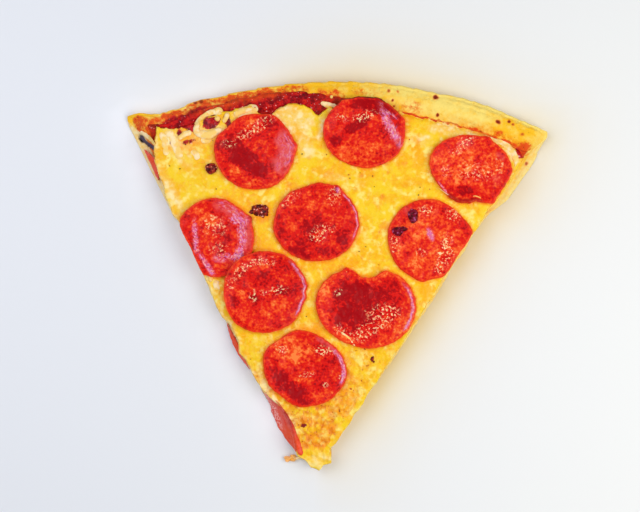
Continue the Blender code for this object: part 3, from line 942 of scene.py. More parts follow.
# Stains of oil and sauce on the rim, and browned spots on it: place, size and strength.
RIM_STAINS = (
    Patch(-0.5, 169.6, 6.5, 3.4, 4.0, 0.8),
    Patch(34.5, 166.4, 4.5, 3.6, 0.0, 0.45),
    Patch(14.0, 172.5, 6.0, 1.6, 0.0, 0.3),
    Patch(84.2, 152.6, 3.2, 3.2, -35.0, 0.75),
    Patch(82.6, 147.8, 1.3, 3.6, -22.0, 0.9),
    Patch(62.5, 159.3, 4.0, 0.8, -14.0, 0.9),
    Patch(68.0, 157.4, 3.6, 0.8, -25.0, 0.9),
    Patch(73.5, 156.0, 3.6, 0.8, -10.0, 0.9),
    Patch(79.0, 154.2, 3.4, 0.9, -28.0, 0.9),
    Patch(72.5, 158.6, 1.6, 1.2, 0.0, 0.5),
)
RIM_SPOTS = (
    (44.5, 172.3, 1.1, 0.9),
    (45.8, 164.9, 0.7, 1.0),
    (71.8, 163.3, 1.0, 0.85),
    (76.5, 164.0, 0.8, 0.8),
    (78.3, 162.9, 0.6, 0.6),
    (82.4, 158.8, 0.9, 0.55),
    (24.1, 174.0, 0.8, 0.6),
    (28.0, 173.8, 0.6, 0.5),
    (25.9, 169.8, 0.6, 0.8),
    (26.7, 167.5, 0.5, 0.8),
    (-56.7, 164.8, 1.2, 0.7),
    (-59.2, 163.8, 0.9, 0.7),
    (-53.9, 165.9, 0.8, 0.6),
    (-31.5, 173.2, 0.8, 0.6),
    (86.5, 147.0, 0.8, 0.7),
)


def slit_depth(x, y):
    """How deep points lie in the slit, between 0 and 1."""
    depth = np.zeros(x.shape)
    for (x_1, y_1), (x_2, y_2), width in SLIT:
        away_x = x - PIZZA_MIDDLE[0] - x_1
        away_y = y - PIZZA_MIDDLE[1] - y_1
        share = away_x * (x_2 - x_1) + away_y * (y_2 - y_1)
        share = np.clip(share / ((x_2 - x_1) ** 2 + (y_2 - y_1) ** 2), 0.0, 1.0)
        far = np.hypot(away_x - share * (x_2 - x_1), away_y - share * (y_2 - y_1))
        depth = np.maximum(depth, soft_step(1.25, 0.8, far / width))
    return depth


def build_crust():
    """The base, rim and cut sides of the dough as one closed skin."""
    under_rings, wall_rings, roll_rings, inner_rings = CRUST_RINGS
    piece = blank("baked_crust", CRUST_COLUMNS, sum(CRUST_RINGS))
    points = read_points(piece)
    ring = points[:, 2]
    pole = np.hypot(points[:, 0], points[:, 1]) < 0.5
    ring = np.where(pole & (ring < 1.0), -1.0, ring)
    below = np.clip((under_rings - ring) / (under_rings + 1.0), 0.0, 1.0)
    rise = np.clip((ring - under_rings) / wall_rings, 0.0, 1.0)
    top = np.clip((ring - under_rings - wall_rings) / roll_rings, 0.0, 1.0)
    beyond = np.clip((ring - under_rings - wall_rings - roll_rings) / inner_rings, 0.0, 1.0)

    turn = np.arctan2(points[:, 0], points[:, 1]) / (2.0 * np.pi) % 1.0
    even = np.linspace(0.0, 1.0, CRUST_COLUMNS + 1)
    outline = dough_outline(CRUST_COLUMNS + 1)
    rim_x, rim_y, along = (np.interp(turn, even, values) for values in outline)
    radius, bearing = polar(rim_x, rim_y)
    swell = np.interp(bearing, *RIM_SWELL)
    at_rim = soft_step(3.5, 1.0, DOUGH.reach(np.clip(bearing, *CORNERS)) + swell - radius)
    first, last = SAUCE.sides(radius)
    lean = np.radians(np.abs(bearing - np.clip(bearing, first, last))) * radius
    lean = mix(np.clip(lean, 0.5, 8.0), 1.6, at_rim)
    away = np.hypot(SLICE_MIDDLE[0] - rim_x, SLICE_MIDDLE[1] - rim_y)
    inward_x = (SLICE_MIDDLE[0] - rim_x) / away
    inward_y = (SLICE_MIDDLE[1] - rim_y) / away
    edge_height = DOUGH.height(*polar(rim_x + inward_x * 4.0, rim_y + inward_y * 4.0))

    belly = 2.2 * (1.0 - np.sin(np.pi * np.clip(rise * 0.8 + 0.08, 0.0, 0.5))) + 1.4 * rise**4
    bulge = 0.8 + 1.4 * soft_step(50.0, 62.0, radius)
    inset = mix(lean * rise**bulge, belly, at_rim) + top * 15.0
    standing = np.sin(np.pi * 0.5 * rise)
    height = edge_height * mix(standing, 0.86 * standing**1.2, at_rim)
    x = rim_x + inward_x * inset
    y = rim_y + inward_y * inset
    x += (SLICE_MIDDLE[0] - x) * (beyond + below)
    y += (SLICE_MIDDLE[1] - y) * (beyond + below)

    radius, bearing = polar(x, y)
    held_radius = np.minimum(radius, DOUGH.reach(np.clip(bearing, *CORNERS)) - 2.5)
    height = mix(height, DOUGH.height(held_radius, bearing), soft_step(0.0, 0.14, top))
    on_roll = at_rim * soft_step(0.3, 0.8, rise) * (1.0 - soft_step(0.7, 1.0, top))
    lumps = relief(x, y, 9.0, 11, 2) + 0.5 * relief(x, y, 2.4, 12, 2) - 0.2
    height += on_roll * setting("rim_lumps") * lumps
    cut = (1.0 - at_rim) * np.sin(np.pi * rise)
    pores = relief(along, height * 1.4, 2.4, 13, 3)
    depth = setting("crumb_depth") * cut * (pores * 0.9 + 0.2)
    # The slit is dented, and painted dark as shade through the hollow mask.
    hollow = slit_depth(x, y) * ((ring > under_rings) & (beyond < 0.5))
    x += inward_x * depth
    y += inward_y * depth
    height = np.where(below > 0.0, 0.0, np.maximum(height - 1.2 * hollow, 0.0))
    write_points(piece, np.column_stack((x, y, height)))

    crumb = (1.0 - at_rim) * soft_step(0.08, 0.25, rise) * (1.0 - soft_step(0.0, 0.05, top))
    crumb *= 1.0 - 0.6 * soft_step(5.0, 12.0, bearing)
    orange, golden, char, sauced = crust_masks(x, y, radius, bearing)
    paint(piece, "zones", orange, crumb, char * soft_step(0.5, 0.9, rise))
    paint(piece, "more", 1.0 - soft_step(0.04, 0.2, rise), golden, hollow)
    paint(piece, "extra", sauced)
    finish_mesh(piece)
    settle(piece, "crust", crust_finish(), "dough")


def crust_masks(x, y, radius, bearing):
    """Where the rim is stained orange, golden, charred and under sauce."""
    from_edge = DOUGH.reach(bearing) + np.interp(bearing, *RIM_SWELL) - radius
    ragged = relief(x, y, 3.0, 16, 2)
    near_sauce = soft_step(6.0, 1.0, np.abs(radius - SAUCE.reach(bearing)) + 1.0)
    corner = soft_step(-24.5, -26.5, bearing + 1.5 * ragged)
    stained = soft_step(-2.0, -9.0, bearing + 2.5 * relief(x, y, 6.0, 14, 2))
    sauced = stained * (1.0 - corner) * soft_step(2.7, 4.4, from_edge + 1.2 * ragged)
    orange = stained * soft_step(0.3 + corner, 1.3 + corner, from_edge + 0.6 * ragged)
    orange *= 1.0 - 0.15 * corner
    orange += 0.35 * near_sauce * (1.0 - stained) * soft_step(14.0, 26.0, bearing)
    orange += patched(RIM_STAINS, x, y, 17)
    golden = bell(bearing, -2.0, 11.0) + 0.6 * corner + 0.6 * stained + 0.45 * near_sauce
    golden += 1.1 * bell(bearing, 26.5, 4.0) * soft_step(0.5, 3.0, from_edge)
    char = np.zeros(x.shape)
    ragged = 0.4 * relief(x, y, 1.5, 15)
    for spot_x, spot_y, wide, strength in RIM_SPOTS:
        char += strength * soft_step(1.6, 0.4, apart(x, y, spot_x, spot_y) / wide + ragged)
    return orange, golden, char, sauced


# How far the layers draw in at the left of the tip and the cheese from the left cut further out,
# in millimetres by radius.
TIP_BARE = ((14.0, 18.0, 30.0, 40.0, 48.0), (3.4, 3.4, 2.4, 1.3, 0.0))
TIP_INSET = (
    (10.0, 12.0, 14.7, 17.2, 18.8, 30.0, 40.0, 48.0),
    (1.6, 1.2, 0.3, 0.4, 2.3, 1.5, 0.4, -0.9),
)
LEFT_INSET = (
    (48, 52, 66, 70, 79, 82, 100, 132, 139, 146, 151, 156, 160, 164, 169),
    (1.4, 0.4, 0.4, 2.0, 2.0, 0.3, 0.3, 0.7, 1.6, 2.6, 3.4, 3.8, 5.6, 7.9, 11.2),
)

# The bearing that the torn flake reaches at the right of the tip, by radius, and the radius that
# the tongue of cheese reaches over the sauce, by bearing.
TIP_FLAKE = (
    (9.0, 10.7, 12.7, 14.0, 15.8, 16.8, 17.7, 19.1, 22.3, 29.0),
    (24.0, 29.0, 29.4, 34.0, 38.6, 35.0, 29.5, 26.0, 27.0, 29.2),
)
CHEESE_TONGUE = (
    (-11.3, -10.7, -10.4, -9.0, -8.0, -6.6, -4.3, -3.2, -1.9, -1.2, -0.3),
    (166.0, 163.6, 162.3, 162.5, 164.5, 166.3, 165.6, 164.4, 161.2, 163.0, 165.5),
)


def as_scanned(edge, _bearing):
    """Leaves a layer's outer edge where its solid has it."""
    return edge


def cheese_edge(edge, bearing):
    """Draws the cheese's outer edge into its tongue and, to the right, over the sauce."""
    inside = soft_step(-12.0, -11.3, bearing) * soft_step(0.3, -0.3, bearing)
    over = 1.5 * soft_step(3.0, 7.0, bearing) * soft_step(29.5, 28.0, bearing)
    return mix(edge, np.interp(bearing, *CHEESE_TONGUE), inside) + over


def from_cheese_edge(radius, bearing):
    """Distance inside the cheese's outer edge."""
    return cheese_edge(CHEESE.reach(np.clip(bearing, *LAYER_CORNERS)), bearing) - radius


def sauce_sides(radius):
    """The sauce's two sides as bearings, drawn in under the cheese."""
    first, last = SAUCE.sides(radius)
    per_mm = np.degrees(1.0 / radius)
    return first + per_mm * (1.0 + np.interp(radius, *TIP_BARE)), last - per_mm * 0.3


def cheese_sides(radius):
    """The cheese's two sides as bearings: it runs out to the dough's edge along the left cut."""
    first, last = CHEESE.sides(radius)
    per_mm = np.degrees(1.0 / radius)
    drawn_in = first + per_mm * np.interp(radius, *TIP_INSET)
    inset = np.interp(radius, *LEFT_INSET) - np.interp(radius, *LEFT_SWELL)
    run_out = DOUGH.sides(radius)[0] + per_mm * inset
    share = soft_step(44.0, 52.0, radius) * soft_step(176.0, 170.0, radius)
    at_tip = soft_step(30.0, 24.0, radius)
    last = mix(last + per_mm * 0.4, np.interp(radius, *TIP_FLAKE), at_tip)
    return mix(drawn_in, run_out, share), last


def lay_layer(name, scan, sides, cells, waver, seed, outer_edge=as_scanned):
    """A grid laid over a scanned layer, and its points' places, radii and bearings.

    The waver is how far its sides and its outer edge stray, in millimetres.
    """
    piece, side, share = start_grid(name, *cells)
    tip = scan.radii[np.argmax(scan.inside.any(axis=1))]
    bearing = side * 29.0
    for _ in range(4):
        edge = outer_edge(scan.reach(np.clip(bearing, *LAYER_CORNERS)), bearing)
        edge = edge + waver[1] * relief(bearing * 3.0, bearing * 0.0, 4.0, seed, 3)
        radius = tip + (edge - tip) * share
        first, last = sides(radius)
        stray = np.degrees(waver[0] / radius)
        first = first + stray * relief(radius, radius * 0.0, 5.0, seed + 5, 3)
        last = last + stray * relief(radius, radius * 0.0, 5.0, seed + 9, 3)
        bearing = first + (last - first) * (side + 1.0) / 2.0
    x, y = place(radius, bearing)
    return piece, x, y, radius, bearing


# The steps in which a layer's border goes down its side and then in under it.
SIDE_STEPS = (0.25, 0.5, 0.75, 1.0)
UNDERSIDE_STEPS = (0.97, 0.85, 0.65, 0.4, 0.15)


def close_layer(piece, scan, thickness, depth_below):
    """Extrudes a layer's border down into a rounded side and closes its underside."""

    def down(x, y, z, share):
        """Takes a ring down a share of the side, which bulges a little."""
        bulge = 0.25 * math.sin(math.pi * share)
        away = np.hypot(x - SLICE_MIDDLE[0], y - SLICE_MIDDLE[1])
        x = x + (x - SLICE_MIDDLE[0]) / away * bulge
        y = y + (y - SLICE_MIDDLE[1]) / away * bulge
        return x, y, z - thickness / len(SIDE_STEPS)

    def inwards(x, y, _z, share):
        """Draws a ring in under the layer to a share of its size."""
        x = SLICE_MIDDLE[0] + (x - SLICE_MIDDLE[0]) * share
        y = SLICE_MIDDLE[1] + (y - SLICE_MIDDLE[1]) * share
        return x, y, scan.height(*polar(x, y)) - depth_below

    extrude_border(piece, down, SIDE_STEPS)
    extrude_border(piece, inwards, UNDERSIDE_STEPS)
    close_border()


def build_sauce():
    """The sauce under the cheese, bare along the crust at the left."""
    piece, x, y, radius, bearing = lay_layer(
        "sauce_layer", SAUCE, sauce_sides, cells=(230, 170), waver=(0.3, 0.5), seed=31
    )
    z = SAUCE.height(radius, bearing) - 0.1
    z += setting("sauce_grain") * (relief(x, y, 3.4, 32, 2) + 0.6 * relief(x, y, 1.2, 33, 2))
    write_points(piece, np.column_stack((x, y, z)))
    close_layer(piece, SAUCE, thickness=1.0, depth_below=1.6)
    x, y, z = read_points(piece).T
    radius, bearing = polar(x, y)
    from_rim = SAUCE.reach(np.clip(bearing, *LAYER_CORNERS)) - radius
    from_rim = from_rim + 1.2 * relief(x, y, 3.0, 34, 2)
    bare = soft_step(-6.0, -9.0, bearing) * soft_step(-22.0, -18.0, bearing)
    rusty = 0.75 * soft_step(-4.0, 8.0, bearing) + 0.35 * soft_step(-25.0, -28.0, bearing)
    paint(piece, "zones", rusty + 0.6 * soft_step(2.6, 0.6, from_rim) * bare)
    finish_mesh(piece)
    settle(piece, "sauce", sauce_finish(), "tomato_sauce")


# Where sauce shows through the cheese, and where the cheese is pale.
SAUCE_PATCHES = (
    Patch(-51.0, 155.2, 4.2, 2.6, 20.0, 1.1),
    Patch(-60.5, 154.0, 4.0, 4.0, 20.0, 1.0),
    Patch(-68.5, 154.5, 7.0, 2.6, 12.0, 0.9),
    Patch(-64.2, 149.6, 1.8, 2.6, 30.0, 0.7),
    Patch(-45.0, 156.8, 1.6, 2.6, 20.0, 0.9),
    Patch(-60.0, 146.5, 4.0, 1.2, 20.0, 0.55),
    Patch(-67.6, 145.0, 1.2, 2.2, 30.0, 0.5),
    Patch(-43.5, 153.5, 1.4, 2.0, 0.0, 0.5),
    Patch(-27.6, 162.0, 2.4, 3.0, 0.0, 1.2),
    Patch(83.2, 152.0, 3.0, 3.6, -35.0, 1.0),
)
PALE_PATCHES = (
    Patch(-69.5, 149.0, 3.0, 5.0, 20.0, 0.6),
    Patch(-66.0, 143.5, 3.0, 5.5, 25.0, 0.5),
    Patch(-60.5, 138.0, 3.5, 3.0, 20.0, 0.5),
    Patch(-54.0, 150.0, 9.0, 4.0, 15.0, 0.5),
    Patch(-37.0, 160.5, 6.5, 2.2, 20.0, 1.0),
    Patch(-17.6, 159.0, 9.0, 5.5, -10.0, 1.1),
    Patch(-11.0, 149.0, 3.5, 7.0, 20.0, 0.8),
    Patch(-3.8, 156.0, 1.6, 5.0, -10.0, 0.9),
    Patch(50.0, 159.0, 9.0, 3.0, -14.0, 0.95),
    Patch(39.7, 153.7, 4.0, 2.5, 0.0, 0.7),
    Patch(66.0, 156.0, 9.0, 1.8, -17.0, 0.9),
    Patch(79.5, 149.0, 4.5, 1.7, -38.0, 0.9),
    Patch(-66.0, 124.0, 2.0, 8.0, 28.0, 0.8),
    Patch(-20.0, 43.0, 1.8, 9.0, 32.0, 0.8),
    Patch(2.5, 135.0, 4.0, 2.0, 0.0, 0.4),
    Patch(4.8, 13.3, 4.5, 3.2, 0.0, 0.5),
)

# Oily spots on the cheese: place, size and strength. The small ones are toasted too.
OILY_SPOTS = (
    (-38.0, 120.0, 8.0, 0.5),
    (-22.0, 118.0, 6.0, 0.5),
    (-25.0, 103.0, 6.0, 0.5),
    (23.0, 96.0, 9.0, 0.35),
    (4.0, 96.0, 6.0, 0.4),
    (-2.0, 68.0, 6.0, 0.7),
    (-58.0, 148.0, 7.0, 0.9),
    (-67.0, 146.0, 5.0, 0.7),
    (18.0, 40.0, 8.0, 0.4),
    (-28.4, 118.6, 4.4, 1.1),
    (-30.0, 76.0, 6.0, 0.6),
    (-2.0, 18.9, 1.9, 1.4),
    (-0.6, 21.6, 1.9, 1.3),
    (-5.7, 22.8, 1.6, 1.0),
    (6.6, 21.4, 1.9, 1.2),
    (8.7, 26.5, 1.9, 1.2),
    (-3.6, 30.0, 1.9, 1.0),
    (4.6, 23.6, 1.5, 1.1),
    (-8.5, 27.0, 1.6, 1.1),
    (26.6, 115.6, 2.6, 0.7),
    (24.3, 128.3, 1.5, 0.9),
    (14.9, 136.8, 1.2, 0.8),
    (19.6, 136.7, 1.1, 0.6),
    (26.0, 138.8, 1.0, 0.8),
    (12.3, 130.2, 1.4, 0.6),
    (34.0, 133.5, 1.6, 0.45),
    (16.0, 146.0, 1.6, 0.4),
    (5.5, 128.0, 1.2, 0.7),
    (-16.0, 131.0, 1.6, 0.4),
    (-8.5, 143.0, 1.3, 0.5),
    (-52.0, 112.0, 1.3, 0.5),
    (45.0, 104.0, 1.4, 0.5),
    (-12.0, 98.0, 1.3, 0.5),
)


def cheese_masks(x, y, beyond):
    """Where the cheese is oily, pale, toasted, creased and shaded in its dips, milky and red."""
    radius, bearing = polar(x, y)
    first, last = cheese_sides(radius)
    from_left = np.radians(bearing - first) * radius
    from_right = np.radians(last - bearing) * radius
    from_rim = from_cheese_edge(radius, bearing)
    halo = soft_step(1.6, 0.2, beyond) * (0.75 + 0.4 * relief(x, y, 5.0, 57, 2))
    low = soft_step(82.0, 26.0, radius) * soft_step(16.0, 20.0, radius)
    band = soft_step(2.6, 1.6, from_right) * soft_step(90.0, 60.0, radius)
    orange = halo + low * (0.45 + 0.8 * relief(x, y, 5.0, 58, 2)) - 0.9 * band
    orange += 1.1 * soft_step(1.4, 0.1, from_rim) * soft_step(8.0, 16.0, bearing)
    by_rim = soft_step(0.0, 3.0, bearing) * soft_step(16.0, 10.0, bearing)
    orange += 0.55 * soft_step(13.0, 2.0, from_rim) * by_rim
    toast = 0.7 * low * soft_step(0.6, 0.9, relief(x, y, 3.0, 60, 2))
    toast += 0.9 * soft_step(0.8, 0.2, from_rim) * soft_step(12.0, 18.0, bearing)
    ragged = 0.3 * relief(x, y, 3.0, 61, 2)
    for spot_x, spot_y, wide, strength in OILY_SPOTS:
        far = apart(x, y, spot_x, spot_y) / wide
        cover = strength * soft_step(1.4, 0.3, far + ragged)
        orange += cover
        if wide < 2.0:
            toast += 0.3 * cover * soft_step(1.0, 0.2, far)
    pale = 0.6 * soft_step(1.8, 0.4, from_left) * (0.7 + 0.6 * relief(x, y, 5.0, 62, 2))
    pale += patched(PALE_PATCHES, x, y, 59)
    wrinkles = soft_step(0.12, 0.02, np.abs(relief(x, y, 5.0, 66, 2)))
    # The first part darkens the dips of the cheese's relief as painted shade; the wrinkles are
    # browned lines.
    creases_and_shade = 0.5 * soft_step(0.0, -0.4, relief(x, y, 3.2, 55, 2)) + 0.7 * wrinkles
    creases_and_shade *= low * (1.0 - band)
    milky = low * soft_step(0.25, 0.65, relief(x, y, 2.6, 64, 2)) * 0.5
    red = patched(SAUCE_PATCHES, x, y, 63)
    return orange * (1.0 - 0.55 * np.clip(pale, 0.0, 1.0)), pale, toast, creases_and_shade, milky, red


def build_cheese():
    """The melted cheese, with a seat and lip for each pepperoni."""
    piece, x, y, radius, bearing = lay_layer(
        "melted_cheese",
        CHEESE,
        cheese_sides,
        cells=(270, 290),
        waver=(0.4, 0.7),
        seed=51,
        outer_edge=cheese_edge,
    )
    beyond = by_discs(x, y)
    z = CHEESE.height(radius, bearing)
    z += setting("cheese_lumps") * relief(x, y, 15.0, 52, 2)
    strands = 1.0 - 2.0 * np.abs(relief(x + 0.4 * y, y - 0.3 * x, 4.4, 53, 1))
    z += setting("cheese_strands") * strands
    z += 0.12 * relief(x, y, 1.6, 54, 2)
    z += soft_step(80.0, 24.0, radius) * 0.5 * relief(x, y, 3.2, 55, 2)
    z += setting("cheese_lip") * bell(beyond, 0.2, 1.0) * (0.8 + 0.5 * relief(x, y, 6.0, 56))
    z -= 1.3 * soft_step(-0.6, -2.2, beyond)
    merged = soft_step(2.4, 0.3, from_cheese_edge(radius, bearing)) * soft_step(3.0, 6.0, bearing)
    z = mix(z, DOUGH.height(radius, bearing) + 0.15, merged)
    write_points(piece, np.column_stack((x, y, z)))
    close_layer(piece, CHEESE, thickness=2.0, depth_below=2.6)
    x, y, z = read_points(piece).T
    masks = cheese_masks(x, y, by_discs(x, y))
    paint(piece, "zones", *masks[:3])
    paint(piece, "more", *masks[3:])
    finish_mesh(piece)
    settle(piece, "cheese", cheese_finish(), "cheese")


class Arc(NamedTuple):
    """A band along a slice's edge: its first and last bearing, inset, width and strength."""

    first: float
    last: float
    inset: float
    width: float
    strength: float = 1.0

    def far(self, from_edge, bearing):
        """How far points lie from the band, in shares of its width."""
        past = turned(bearing, (self.first + self.last) / 2.0) - (self.last - self.first) / 2.0
        return np.hypot(np.maximum(past, 0.0) / 8.0, (from_edge - self.inset) / self.width)


class Look(NamedTuple):
    """Where a slice is dark, orange, oily (with painted glints) and charred, where pink and pale
    sheen is painted on it, and how its edge strays.

    Patches lie round the slice's middle. Each corner is a bearing, how far the edge is drawn out
    there and how many degrees it spreads. The cup is how strongly the edge curls up.
    """

    deep: tuple = ()
    orange: tuple = ()
    oil: tuple = ()
    pink: tuple = ()
    sheen: tuple = ()
    char: tuple = ()
    corners: tuple = ()
    cup: float = 1.0


